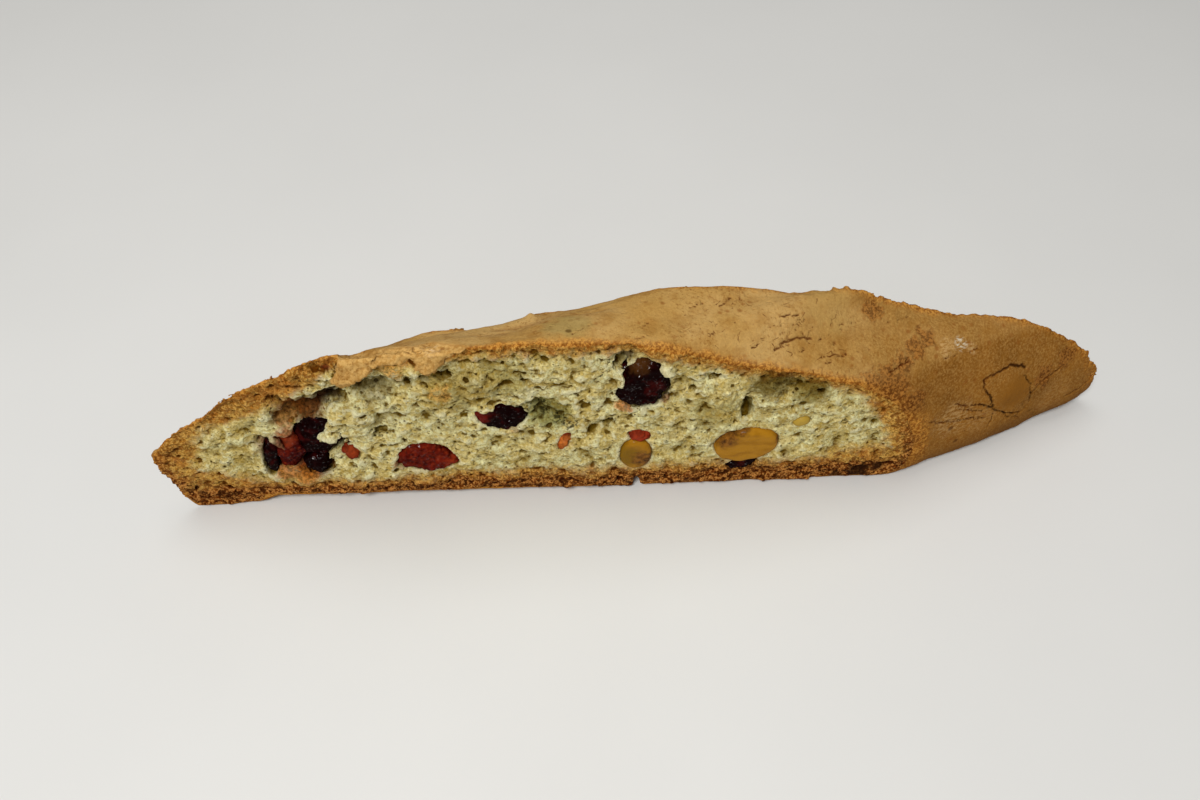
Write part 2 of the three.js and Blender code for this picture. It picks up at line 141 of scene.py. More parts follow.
class Finish:
    """A material under construction."""

    def __init__(self, name):
        self.material = bpy.data.materials.new(name)
        self.material.use_nodes = True
        self.tree = self.material.node_tree
        self.shader = self.tree.nodes["Principled BSDF"]
        self.place = self.add("ShaderNodeTexCoord").outputs["Object"]

    def add(self, kind, **settings):
        node = self.tree.nodes.new(kind)
        for key, value in settings.items():
            setattr(node, key, value)
        return node

    def put(self, socket, value):
        if isinstance(value, bpy.types.NodeSocket):
            self.tree.links.new(value, socket)
        else:
            socket.default_value = value

    def noise(self, size, detail=2, rough=0.5, stretch=(1, 1, 1), shift=0):
        """Soft blotches as large as size, in millimetres."""
        place = self.stretched(stretch, shift)
        node = self.add("ShaderNodeTexNoise")
        self.put(node.inputs["Vector"], place)
        node.inputs["Scale"].default_value = 1 / (size * MM)
        node.inputs["Detail"].default_value = detail
        node.inputs["Roughness"].default_value = rough
        return node.outputs["Fac"]

    def cells(self, size, stretch=(1, 1, 1), feature="F1", shift=0):
        """The way to the middle or the edge of cells as large as size, in millimetres."""
        place = self.stretched(stretch, shift)
        node = self.add("ShaderNodeTexVoronoi", feature=feature)
        self.put(node.inputs["Vector"], place)
        node.inputs["Scale"].default_value = 1 / (size * MM)
        return node.outputs["Distance"]

    def stretched(self, stretch, shift):
        if tuple(stretch) == (1, 1, 1) and not shift:
            return self.place
        node = self.add("ShaderNodeMapping")
        self.put(node.inputs["Vector"], self.place)
        node.inputs["Scale"].default_value = [1 / s for s in stretch]
        node.inputs["Location"].default_value = (shift, shift, shift)
        return node.outputs["Vector"]

    def attribute(self, name):
        return self.add("ShaderNodeAttribute", attribute_name=name).outputs["Fac"]

    def between(self, value, low, high, to_low=0, to_high=1):
        """One number at low and another at high, with a smooth rise between them."""
        node = self.add("ShaderNodeMapRange", interpolation_type="SMOOTHSTEP")
        self.put(node.inputs["Value"], value)
        for key, number in zip(("From Min", "From Max", "To Min", "To Max"), (low, high, to_low, to_high)):
            node.inputs[key].default_value = number
        return node.outputs["Result"]

    def math(self, operation, a, b, clamp=False):
        node = self.add("ShaderNodeMath", operation=operation, use_clamp=clamp)
        self.put(node.inputs[0], a)
        self.put(node.inputs[1], b)
        return node.outputs[0]

    def plus(self, a, b, clamp=False):
        return self.math("ADD", a, b, clamp)

    def minus(self, a, b, clamp=False):
        return self.math("SUBTRACT", a, b, clamp)

    def times(self, a, b):
        return self.math("MULTIPLY", a, b)

    def most(self, a, b):
        return self.math("MAXIMUM", a, b)

    def blend(self, amount, a, b, way="MIX"):
        node = self.add("ShaderNodeMix", data_type="RGBA", blend_type=way)
        self.put(node.inputs["Factor"], amount)
        self.put(node.inputs["A"], a)
        self.put(node.inputs["B"], b)
        return node.outputs["Result"]

    def tint(self, colour, amount, *rgb):
        """The colour with a second one, picked on a screen, laid over it by an amount."""
        return self.blend(amount, colour, srgb(*rgb))

    def near(self, place, radius, ragged=0.0, size=1.5):
        """1 at a place, fading to 0 at the radius, in millimetres, with a ragged edge."""
        reach = (radius + 0.5 * ragged) * MM
        centred = self.add("ShaderNodeMapping")
        self.put(centred.inputs["Vector"], self.place)
        centred.inputs["Scale"].default_value = [1 / reach] * 3
        centred.inputs["Location"].default_value = -at(*place) / reach
        ball = self.add("ShaderNodeTexGradient", gradient_type="SPHERICAL")
        self.put(ball.inputs["Vector"], centred.outputs["Vector"])
        closeness = ball.outputs["Fac"]
        if ragged:
            fringe = self.times(self.noise(size, 3, shift=place[0]), ragged * MM / reach)
            closeness = self.minus(closeness, fringe)
        return self.between(closeness, 0, 0.55 * radius * MM / reach)

    def bump(self, height, depth, below=None):
        node = self.add("ShaderNodeBump")
        self.put(node.inputs["Height"], height)
        node.inputs["Distance"].default_value = depth * MM
        node.inputs["Strength"].default_value = 1
        if below is not None:
            self.put(node.inputs["Normal"], below)
        return node.outputs["Normal"]

    def shade(self, **inputs):
        for key, value in inputs.items():
            self.put(self.shader.inputs[key.replace("_", " ")], value)
        return self.material


clock("helpers for finishes")

# %% [markdown]
# The slice stands on a plain pale table under soft studio light: a large soft panel above and behind,
# which brightens the crust on top, and a smaller, stronger one in front and to the left that keeps the
# cut face readable.

# %% Table and light
bpy.ops.object.select_all(action="DESELECT")
TABLE_SIZE = 3
bpy.ops.mesh.primitive_plane_add(size=TABLE_SIZE)
table = bpy.context.object
table.name = "table"
paper = Finish("pale_table")
mottle = paper.noise(60, 3)
table_colour = paper.blend(mottle, srgb(214, 214, 212), srgb(222, 222, 220))
table.data.materials.append(paper.shade(Base_Color=table_colour, Roughness=0.6))
table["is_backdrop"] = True

world = bpy.data.worlds.new("soft_room")
bpy.context.scene.world = world
world.use_nodes = True
background = world.node_tree.nodes["Background"]
ROOM_LIGHT, ROOM_STRENGTH = (1, 0.99, 0.97, 1), 0.22
background.inputs["Color"].default_value = ROOM_LIGHT
background.inputs["Strength"].default_value = ROOM_STRENGTH


def panel(name, place, aim, width, power, colour):
    """A square soft light at a place, turned to what it aims at."""
    light = bpy.data.lights.new(name, "AREA")
    light.shape, light.size, light.energy, light.color = "SQUARE", width, power, colour
    lamp = bpy.data.objects.new(name, light)
    lamp.location = place
    lamp.rotation_euler = (Vector(aim) - Vector(place)).to_track_quat("-Z", "Y").to_euler()
    bpy.context.scene.collection.objects.link(lamp)


panel("panel_above", (-0.05, 0.12, 0.6), (0, 0, 0.02), 0.35, 1.0, (1, 0.98, 0.95))
panel("panel_front", (-0.14, -0.3, 0.54), (0, 0, 0.02), 0.18, 2.8, (1, 0.99, 0.97))
bpy.context.scene.view_settings.view_transform = "Standard"
clock("table and light")

# %% [markdown]
# The body of the slice is one piece of dough, so its crumb and its crust are one mesh. The plain slice
# gives its form. It is merged, hollows are cut into it and scraps are added, and a fine voxel net then
# makes everything one skin with points close enough together for single crumbs.

# %% Helpers for working on one piece


def take(piece):
    """Only this piece is selected and active."""
    bpy.ops.object.select_all(action="DESELECT")
    piece.select_set(True)
    bpy.context.view_layer.objects.active = piece


def apply(piece, kind, **settings):
    """Adds one modifier with its settings and applies it."""
    take(piece)
    modifier = piece.modifiers.new(kind.lower(), kind)
    for key, value in settings.items():
        setattr(modifier, key, value)
    bpy.ops.object.modifier_apply(modifier=modifier.name)
    return piece


def copy_of(node, name):
    """A new piece with the plain part's form, its loose triangles merged into a skin."""
    piece = bpy.data.objects.new(name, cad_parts[node].data.copy())
    bpy.context.scene.collection.objects.link(piece)
    piece.data.materials.clear()
    take(piece)
    bpy.ops.object.mode_set(mode="EDIT")
    bpy.ops.mesh.select_all(action="SELECT")
    bpy.ops.mesh.remove_doubles(threshold=1e-6)
    bpy.ops.object.mode_set(mode="OBJECT")
    return piece


def points(piece):
    """The places of a piece's points, as an array."""
    spots = np.empty(len(piece.data.vertices) * 3)
    piece.data.vertices.foreach_get("co", spots)
    return spots.reshape(-1, 3)


def cloud(name, size, depth=1, hard=False):
    """A noise for the Displace modifier, with blotches as large as size; hard noise has creases."""
    noise = bpy.data.textures.new(name, "CLOUDS")
    noise.noise_scale, noise.noise_depth = size * MM, depth
    noise.noise_type = "HARD_NOISE" if hard else "SOFT_NOISE"
    return noise


def pits(name, size, share_of_cell):
    """Round pits, one to each cell of the size, as a texture that is black in a pit and white outside."""
    cells = bpy.data.textures.new(name, "VORONOI")
    cells.noise_scale = size * MM
    cells.use_color_ramp = True
    ramp = cells.color_ramp
    ramp.elements[0].position, ramp.elements[1].position = 0.4 * share_of_cell, share_of_cell
    ramp.elements[0].color, ramp.elements[1].color = (0, 0, 0, 1), (1, 1, 1, 1)
    return cells


SHARE_STEPS = 40


def share(piece, name, weights):
    """A vertex group from one weight per point, in even steps."""
    vertex_group = piece.vertex_groups.new(name=name)
    steps = np.rint(np.clip(weights, 0, 1) * SHARE_STEPS).astype(int)
    for value in range(1, SHARE_STEPS + 1):
        chosen = np.nonzero(steps == value)[0]
        if len(chosen):
            vertex_group.add(chosen.tolist(), value / SHARE_STEPS, "REPLACE")


def note(piece, name, values):
    """Writes one number per point on the piece, for its finish to read."""
    layer = piece.data.attributes.new(name, "FLOAT", "POINT")
    layer.data.foreach_set("value", np.asarray(values, np.float32))


dough = copy_of("biscuit", "biscotti_dough")
clock(f"plain dough: {len(dough.data.vertices)} points")

# %% [markdown]
# Where the slice broke rather than cut, the crumb has hollows, and scraps of it stand out. Both could be
# painted, but they show from the side too, so they are real: each starts as a ball that is stretched,
# turned in the plane of the cut and roughened by a noise.

# %% Ragged lumps
LUMP_GRAIN = 1.6
MOST_RAGGED = 0.45  # of the lump's shortest half length


def blob(name, place, size, turn, ragged):
    """A ragged lump: a ball, stretched, turned in the plane of the cut and roughened."""
    bpy.ops.object.select_all(action="DESELECT")
    bpy.ops.mesh.primitive_ico_sphere_add(subdivisions=3, radius=1, location=at(*place))
    lump = bpy.context.object
    lump.name = name
    lump.scale = [s * MM for s in size]
    lump.rotation_euler = (0, -math.radians(turn), 0)
    bpy.ops.object.transform_apply(location=True, rotation=True, scale=True)
    ragged = min(ragged, MOST_RAGGED * min(size))
    return apply(lump, "DISPLACE", texture=cloud(name, LUMP_GRAIN), texture_coords="LOCAL",
                 strength=2 * ragged * MM, mid_level=0.5)


# %% [markdown]
# Each row gives one lump: its place along, into and up the slice, its half lengths the same three ways,
# the lift of its right end in degrees, and how ragged it is. The loaf's side runs at a slant under the
# front face, so hollows near its top and its left end stay shallow, or they would come out through the
# crust.

# %% Where the crumb is hollow
HOLLOWS = {
    "cave": ((28.4, 1.3, 28.2), (5.2, 1.9, 1.9), 4, 0.5),
    "cave_right": ((33.4, 1.8, 29.4), (2.2, 2.0, 1.2), 15, 0.5),
    "cave_floor": ((27.2, 1.4, 26.2), (4.2, 1.9, 1.6), 20, 0.4),
    "bed_left": ((21.6, 1, 16), (2.8, 1.5, 5), 0, 0.6),
    "bed_low": ((26.2, 1, 11.2), (3.6, 1.4, 2.4), 0, 0.6),
    "left_of_sliver": ((18.6, 1, 19.4), (1.0, 1.2, 1.4), -30, 0.3),
    "round_hole": ((78.4, 2, 34.8), (1.2, 2.3, 1.9), 10, 0.4),
    "under_mound": ((38.6, 1.6, 20.2), (1.9, 1.3, 1.2), 40, 0.6),
    "under_crust": ((44.5, 2, 33.9), (5.2, 1.7, 0.9), -4, 0.7),
    "recess": ((46.6, 1.2, 36.6), (1.3, 1.4, 0.9), -20, 0.4),
    "red_recess": ((34, 0.8, 38), (1.1, 0.9, 0.6), 20, 0.3),
    "green_hollow": ((64.2, 1.2, 25.6), (1.9, 1.3, 0.7), -25, 0.6),
    "green_slot": ((66.6, 0.8, 24.6), (1.6, 1.1, 0.3), -20, 0.4),
    "green_slot_low": ((70.4, 0.8, 21.2), (1.4, 1.1, 0.3), 30, 0.4),
    "green_low": ((67.6, 1.4, 22.6), (1.9, 1.1, 0.6), -10, 0.7),
    "green_left": ((62.8, 1, 22.6), (0.9, 1, 0.6), 20, 0.4),
    "green_right": ((70.6, 0.9, 24.6), (0.8, 0.9, 0.6), 40, 0.4),
    "green_crack": ((70.2, 1, 19.6), (1.3, 1.4, 0.35), 25, 0.4),
    "slit_over": ((63.9, 0.9, 29.7), (0.9, 1, 0.45), 10, 0.3),
    "slit_high": ((72.5, 0.9, 28.3), (1, 1, 0.3), 5, 0.25),
    "crescent": ((75.2, 1.2, 19.1), (2.5, 1.5, 0.9), 40, 0.5),
    "slit_low": ((71.9, 0.5, 9.6), (1.8, 0.8, 0.2), 2, 0.3),
    "slit_left": ((53.3, 0.6, 9.1), (0.9, 0.9, 0.22), 3, 0.2),
    "by_shred": ((67, 0.6, 13.6), (0.7, 0.8, 0.2), -15, 0.2),
    "right_hole": ((91.3, 1, 31.6), (0.9, 1.3, 0.6), 20, 0.4),
    "right_cave": ((93.6, 1.8, 30.2), (1.7, 1.4, 0.7), 20, 0.5),
    "right_pit": ((90.1, 1.2, 27.6), (0.6, 1, 0.6), 0, 0.3),
    "finger": ((98.9, 1.6, 21.6), (1, 2.4, 2.3), -8, 0.3),
    "long_dent": ((105.4, 0.2, 27.4), (7.5, 0.9, 2.2), -24, 0.5),
    "cave_left": ((24.6, 1, 24.9), (2.6, 1.5, 2.4), 40, 0.4),
    "by_tongue": ((31.6, 0.9, 17), (1, 1.3, 2.4), -30, 0.3),
    "by_nut": ((93.6, 1, 12.3), (0.9, 1.1, 0.45), -25, 0.3),
    "pit_a": ((110.3, 0.9, 20.6), (0.9, 0.9, 0.45), 5, 0.4),
    "pit_b": ((115.6, 0.9, 17.6), (0.7, 0.9, 0.6), 40, 0.3),
    "pit_c": ((121, 1, 16), (0.8, 1, 0.7), -40, 0.3),
    "nose_slit": ((3, 0.9, 7.9), (1.5, 0.8, 0.16), 3, 0.2),
    "under_nut": ((101.4, 1.4, 7.9), (1.6, 1.3, 0.5), 10, 0.4),
}
widest = 2 * max(size[0] for _, size, *_ in HOLLOWS.values())
print(f"{len(HOLLOWS)} hollows, the widest {widest} mm across")

# %% [markdown]
# Scraps are rows of the same kind. They make the fringe and the teeth over the cave at the left, the
# tongue of crumb in front of the folded cranberry, the brows beside the fruit, and the rounded tip of the
# nose.

# %% Where scraps stand out
SCRAPS = {
    "fringe": ((28.6, 1.1, 32.1), (4.8, 1.1, 1.1), 3, 0.5),
    "tooth_a": ((25.4, 1, 30.9), (0.8, 0.6, 0.8), 0, 0.4),
    "tooth_b": ((27.6, 0.9, 30.6), (0.9, 0.6, 0.8), 10, 0.4),
    "tooth_c": ((29.8, 0.8, 30.7), (0.9, 0.6, 0.9), -10, 0.4),
    "tongue": ((32.8, 0.1, 24.2), (4.3, 1, 1.6), 53, 0.6),
    "tongue_end": ((29.9, 0, 20), (2.2, 0.9, 1.1), 20, 0.5),
    "fibre": ((21.2, 0.3, 18.6), (2.2, 0.5, 0.4), -62, 0.15),
    "lump_a": ((42.6, 0.3, 37.2), (1.3, 1.1, 1.2), 0, 0.5),
    "lump_b": ((44.6, 0.1, 36.6), (1.4, 1, 1.1), 0, 0.5),
    "crust_lump": ((64.4, 12.8, 33), (0.9, 1, 0.7), 0, 0.3),
    "round_shoulder": ((78.2, 0.1, 31), (0.9, 0.9, 1.5), -10, 0.4),
    "round_side": ((85.6, 0.1, 33.6), (0.9, 0.8, 1.5), 15, 0.4),
    "middle_brow": ((57, 0.2, 25.4), (1.5, 0.8, 0.7), 8, 0.3),
    "tongue_bit": ((31.1, 0.1, 22.4), (0.8, 0.7, 0.7), 30, 0.3),
    "tongue_crumb": ((28.7, 0.1, 18.9), (0.7, 0.6, 0.6), 0, 0.25),
    "tongue_side": ((33.1, 0.2, 21.9), (0.9, 0.7, 0.8), 20, 0.3),
    "nose_nub": ((0.9, 1.1, 15.2), (2, 1.4, 1.9), 0, 0.35),
}
print(f"{len(SCRAPS)} scraps")

# %% [markdown]
# The crumb must not grow over a berry when it is roughened. So each piece of fruit is drawn out towards
# its own cut face, with its inner end held, and a Boolean modifier cuts that long shape out of the dough.

# %% Windows in front of the fruit
DRAWN_OUT = 2.2
FRONT_HALF = 7


def window(node):
    """The plain piece of fruit drawn out towards its cut face, to open the crumb in front of it."""
    opening = copy_of(node, "opening")
    low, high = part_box(node)
    fixed = high.y if low.y < HOME.y + FRONT_HALF * MM else low.y
    opening.scale = (1, DRAWN_OUT, 1)
    opening.location = (0, (1 - DRAWN_OUT) * fixed, 0)
    bpy.ops.object.transform_apply(location=True, rotation=True, scale=True)
    return opening


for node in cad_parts:
    if node != "biscuit":
        opening = window(node)
        apply(dough, "BOOLEAN", object=opening, operation="DIFFERENCE", solver="EXACT")
        bpy.data.objects.remove(opening)
clock(f"windows for the fruit: {len(dough.data.vertices)} points")

# %% [markdown]
# The hollows are cut out one after another, and then the scraps are joined on. The exact solver is slower
# than the others, and it stands lumps that only just touch.

# %% Hollows out, scraps on
for name, (place, size, turn, ragged) in HOLLOWS.items():
    hollow = blob(name, place, size, turn, ragged)
    apply(dough, "BOOLEAN", object=hollow, operation="DIFFERENCE", solver="EXACT")
    bpy.data.objects.remove(hollow)
for name, (place, size, turn, ragged) in SCRAPS.items():
    scrap = blob(name, place, size, turn, ragged)
    apply(dough, "BOOLEAN", object=scrap, operation="UNION", solver="EXACT")
    bpy.data.objects.remove(scrap)
clock(f"{len(HOLLOWS)} hollows and {len(SCRAPS)} scraps: {len(dough.data.vertices)} points")

# %% [markdown]
# The knife leaves crumbs hanging on the far edge of the crust. Their places are drawn at random, with a
# fixed seed so that each run gives the same ones, in clusters along the edge. Each is a small rough ball,
# laid on the nearest point of the dough and joined to it.

# %% Crumbs that cling to the far cut edge
edge_rng = np.random.default_rng(3)
# Each cluster's place on the far edge, along and up, and how many crumbs it has.
CLINGING = (
    ((112, 34), 3), ((115.5, 33), 5), ((124, 30), 3), ((131, 27.6), 3), ((138, 25.4), 3), ((144, 23.4), 5),
    ((150, 20.8), 4), ((155, 18.6), 4), ((160, 15), 3),
)
CLUSTER_SPREAD = 1.6
EDGE_FALL = 0.4  # the edge goes down by this much for each step along
clinging = []
for (along_here, up_here), count in CLINGING:
    for _ in range(count):
        away, into = edge_rng.normal(0, CLUSTER_SPREAD), edge_rng.uniform(13.6, 15)
        place = (along_here + away, into, up_here - EDGE_FALL * away)
        clinging.append((place, edge_rng.uniform(0.25, 0.75)))


def clinging_crumb(place, size):
    """A small rough ball at a place on the dough, of a size in millimetres."""
    bpy.ops.object.select_all(action="DESELECT")
    bpy.ops.mesh.primitive_ico_sphere_add(subdivisions=1, radius=1, location=place)
    crumb = bpy.context.object
    crumb.scale = [size * f * MM for f in edge_rng.uniform(0.6, 1.4, 3)]
    crumb.rotation_euler = edge_rng.uniform(0, 3, 3)
    bpy.ops.object.transform_apply(location=True, rotation=True, scale=True)
    return crumb


surface = kdtree.KDTree(len(dough.data.vertices))
for vertex in dough.data.vertices:
    surface.insert(vertex.co, vertex.index)
surface.balance()
crumb_pieces = [clinging_crumb(surface.find(at(*place))[0], size) for place, size in clinging]
bpy.ops.object.select_all(action="DESELECT")
for crumb in crumb_pieces:
    crumb.select_set(True)
dough.select_set(True)
bpy.context.view_layer.objects.active = dough
bpy.ops.object.join()
clock(f"{len(clinging)} crumbs cling to the far edge")

# %% [markdown]
# Remesh turns the dough with its lumps into one closed skin of small even faces, fine enough for single
# crumbs. A second copy of the plain slice is kept for measuring, with the notch in its base filled,
# because its outline says where the crust runs and the notch has none.

# %% One fine skin
SKIN = 0.3
NOTCH_PLACE, NOTCH_SIZE = (80.9, 3.5, 5.2), (9, 8, 10)
plain_dough = copy_of("biscuit", "measuring_copy")
bpy.ops.object.select_all(action="DESELECT")
bpy.ops.mesh.primitive_cube_add(size=1, location=at(*NOTCH_PLACE), scale=[v * MM for v in NOTCH_SIZE])
notch_filler = bpy.context.object
apply(plain_dough, "BOOLEAN", object=notch_filler, operation="UNION", solver="EXACT")
bpy.data.objects.remove(notch_filler)
apply(dough, "REMESH", mode="VOXEL", voxel_size=SKIN * MM)
spots = points(dough)
clock(f"skin: {len(spots)} points")

# %% [markdown]
# Crust and crumb meet along the cut edge, and every mask below starts from the distance to it. The loaf's
# side runs at a slant, so the slice is cut across at seven depths. Each section's outline is the crust
# line at that depth, and slid back along the loaf it tells how far inside the crust any point lies.

# %% Sections through the slice
THICKNESS = 15
BIAS = 37 / THICKNESS  # how far the loaf slides along for each millimetre into the slice
SECTIONS = (1, 2.5, 4.5, 7.5, 10.5, 12.5, 14)
OUTLINE_STEP = 0.1
BEYOND = 9  # further out of a cut face than any crumb stands


def section(depth):
    """The slice's outline at one depth: places along it in even steps, and which way is inwards there."""
    ring = bpy.data.objects.new("section", plain_dough.data.copy())
    bpy.context.scene.collection.objects.link(ring)
    take(ring)
    bpy.ops.object.mode_set(mode="EDIT")
    bpy.ops.mesh.select_all(action="SELECT")
    bpy.ops.mesh.bisect(plane_co=at(0, depth, 0), plane_no=(0, 1, 0), clear_inner=True, clear_outer=True)
    bpy.ops.object.mode_set(mode="OBJECT")
    spots = points(ring)[:, [0, 2]] / MM
    nearby = {}
    for edge in ring.data.edges:
        for one, other in (edge.vertices, reversed(edge.vertices)):
            nearby.setdefault(one, []).append(other)
    bpy.data.objects.remove(ring)
    longest = []
    while nearby:
        here = min(nearby, key=lambda i: spots[i][0])
        loop = [here]
        while True:
            onward = [n for n in nearby.pop(here, []) if n in nearby]
            if not onward:
                break
            here = onward[0]
            loop.append(here)
        if len(loop) > len(longest):
            longest = loop
    corners = spots[longest + longest[:1]]
    steps = np.diff(corners, axis=0)
    reach = np.hypot(*steps.T)
    ways = np.concatenate([[0], np.cumsum(reach)])
    along = np.arange(0, ways[-1], OUTLINE_STEP)
    leg = np.searchsorted(ways, along, side="right") - 1
    line = corners[leg] + steps[leg] / reach[leg, None] * (along - ways[leg])[:, None]
    inward = steps[leg][:, ::-1] * (-1, 1) / reach[leg, None]
    area = 0.5 * np.sum(corners[:-1, 0] * corners[1:, 1] - corners[1:, 0] * corners[:-1, 1])
    return line, inward * np.sign(area), depth


lines = [section(depth) for depth in SECTIONS]
longest_outline = max(len(line) for line, *_ in lines) * OUTLINE_STEP
clock(f"{len(lines)} sections, the longest outline {longest_outline:.0f} mm")

# %% [markdown]
# Each point is slid along the loaf to the two sections nearest to it in depth. Its signed distance to
# both outlines is looked up in a tree of their places, and the true one lies between the two.

# %% How far each point lies inside the crust


def inside(spots, depths, line, inward, depth):
    """Signed distance to a section's outline, for points slid to its depth along the loaf."""
    slid = spots[:, [0, 2]] / MM
    slid[:, 0] -= BIAS * (depths - depth)
    tree = kdtree.KDTree(len(line))
    for i, (x, z) in enumerate(line):
        tree.insert((x, z, 0), i)
    tree.balance()
    nearest = np.array([tree.find((x, z, 0))[1] for x, z in slid.tolist()])
    away = slid - line[nearest]
    return np.hypot(*away.T) * np.where(np.sum(away * inward[nearest], axis=1) > 0, 1, -1)


def within_crust(spots):
    """Millimetres from the crust line, inwards, worked out between the two nearest sections."""
    depths = (spots[:, 1] - HOME.y) / MM
    result = np.zeros(len(spots))
    reach = [-BEYOND, *SECTIONS[1:-1], THICKNESS + BEYOND]
    for i, (low, high) in enumerate(zip(reach[:-1], reach[1:])):
        chosen = np.nonzero((depths > low) & (depths <= high))[0]
        one, other = (inside(spots[chosen], depths[chosen], *lines[j]) for j in (i, i + 1))
        share_of_other = (depths[chosen] - SECTIONS[i]) / (SECTIONS[i + 1] - SECTIONS[i])
        result[chosen] = one + (other - one) * share_of_other
    return result


rim = within_crust(spots)
clock(f"crust line measured, deepest point {rim.max():.1f} mm inside")

# %% [markdown]
# At the top left the crust tore when the slice was cut, and flaps of it hang over the front face. Each
# flap is an outline on the face. Points inside it stand out by a set amount, and its edge is made ragged
# by a noise.

# %% Flaps of torn crust


def soft(values, low, high):
    """0 below low, 1 above high, and a smooth rise between."""
    t = np.clip((values - low) / (high - low), 0, 1)
    return t * t * (3 - 2 * t)


# How far each flap stands out, and its outline on the face, along and up.
CRUST_FLAPS = {
    "flap": (1.0, ((34, 35.6), (36.4, 34.1), (38.4, 35.6), (40.5, 37), (41.6, 38.7), (42.4, 39.4), (42, 43),
                   (35, 43), (36.2, 40.4), (35.6, 38.4))),
    "apron": (0.6, ((41, 38.8), (43.5, 38.5), (45.9, 38.4), (47.4, 39.4), (48.5, 43), (40.5, 43))),
    "fold": (0.8, ((47.2, 39.4), (48.2, 36.9), (49.2, 35.8), (50.9, 37), (52.5, 38.8), (55, 40.6), (55, 43),
                   (46, 43))),
}
RAG_SIZE = 1.1


def within(spots, outline, ragged):
    """How far points lie inside a closed outline on the cut face, in millimetres, its edge made ragged."""
    flat = (spots[:, [0, 2]] - np.array(HOME)[[0, 2]]) / MM
    corners = np.array(outline, float)
    away, crossings = np.full(len(flat), 99.0), np.zeros(len(flat), int)
    for one, other in zip(corners, np.roll(corners, -1, axis=0)):
        leg = other - one
        part = np.clip((flat - one) @ leg / (leg @ leg), 0, 1)
        away = np.minimum(away, np.hypot(*(flat - one - part[:, None] * leg).T))
        spans = (one[1] > flat[:, 1]) != (other[1] > flat[:, 1])
        rise = other[1] - one[1] or 1e-9
        crossings += spans & (flat[:, 0] < one[0] + (flat[:, 1] - one[1]) / rise * leg[0])
    away *= np.where(crossings % 2, 1, -1)
    for i in np.nonzero(np.abs(away) < 2 * ragged)[0].tolist():
        away[i] += ragged * turbulence.noise((flat[i][0] / RAG_SIZE, flat[i][1] / RAG_SIZE, 0))
    return away


print(f"{len(CRUST_FLAPS)} flaps of torn crust")

# %% [markdown]
# The knife pulls crumb out most where nothing holds it. Beside a nut the cut is nearly level, and beside
# a berry it is rougher again, so the relief is turned down near the fruit.

# %% Level crumb beside the fruit
BESIDE_NUT, BESIDE_BERRY = 0.1, 0.45
LEVEL_TO, ROUGH_FROM = 0.5, 1.8  # millimetres from the fruit


def beside_fruit(spots):
    """1 away from fruit and nuts, and less beside them, where the knife left the crumb level."""
    level = {}
    for node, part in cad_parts.items():
        if node != "biscuit":
            left_rough = BESIDE_NUT if "pistachio" in node else BESIDE_BERRY
            level.update({tuple(v.co): left_rough for v in part.data.vertices})
    tree = kdtree.KDTree(len(level))
    for i, place in enumerate(level):
        tree.insert(place, i)
    tree.balance()
    least = list(level.values())
    found = [tree.find(place)[1:] for place in spots.tolist()]
    least = np.array([least[which] for which, _ in found])
    return least + (1 - least) * soft(np.array([away for _, away in found]) / MM, LEVEL_TO, ROUGH_FROM)


level_beside = beside_fruit(spots)
clock(f"{np.mean(level_beside < 1):.0%} of the points lie beside fruit")

# %% [markdown]
# Now each point is shared out between crumb, crust and flaps, by vertex groups that later modifiers are
# kept to. The crust is smoothed hard, because the remesh left it stepped, and far less at its thin far
# edge.

# %% Crumb, crust and flaps
EDGE_RAG = 0.8
depths = (spots[:, 1] - HOME.y) / MM
from_face = np.minimum(depths, THICKNESS - depths)
needed = 0.4 + 1.2 * soft(from_face, 0.8, 2.4)
crumb = soft(rim, needed, needed + 0.8)
flap = np.zeros(len(spots))
for name, (stand, outline) in CRUST_FLAPS.items():
    hanging = within(spots, outline, EDGE_RAG) + np.minimum(0, EDGE_RAG - depths)
    flap = np.maximum(flap, soft(hanging, -0.1, 0.25))
    share(dough, name, soft(hanging, -0.1, 0.7))
crumb *= 1 - flap
share(dough, "crumb", crumb * level_beside)
along, up = (spots[:, 0] - HOME.x) / MM, spots[:, 2] / MM
far_edge = soft(THICKNESS - depths, 1.6, 0.5) * soft(rim, 1.6, 0.8) * soft(up, 3, 8) * soft(along, 104, 112)
share(dough, "crust", soft(rim, 0.8, 0.1) * (1 - 0.9 * far_edge))
apply(dough, "SMOOTH", factor=0.5, iterations=3)
apply(dough, "SMOOTH", factor=0.5, iterations=40, vertex_group="crust")
share(dough, "crust_middle", soft(rim, 0.5, 0) * soft(from_face, 2, 5))
apply(dough, "SMOOTH", factor=0.5, iterations=160, vertex_group="crust_middle")
for name, (stand, outline) in CRUST_FLAPS.items():
    apply(dough, "DISPLACE", direction="Y", strength=-stand * MM, mid_level=0, vertex_group=name)


def facing(piece):
    """The outward direction at every point."""
    normals = np.empty(len(piece.data.vertices) * 3)
    piece.data.vertices.foreach_get("normal", normals)
    return normals.reshape(-1, 3)


upward = facing(dough)[:, 2]
clock("crust smoothed")

# %% [markdown]
# Crumb is relief in several sizes at once: clods that tore away together, single crumbs, and round pores
# that gas left. Each is a noise on the Displace modifier, kept to the crumb by its vertex group.

# %% Crumb relief
before_relief, level_out = points(dough), facing(dough)


def relief(name, texture, height, level, part):
    """Pushes the points of one part out and in by a noise, up to a height in millimetres."""
    apply(dough, "DISPLACE", texture=texture, texture_coords="LOCAL", strength=height * MM, mid_level=level,
          vertex_group=part)


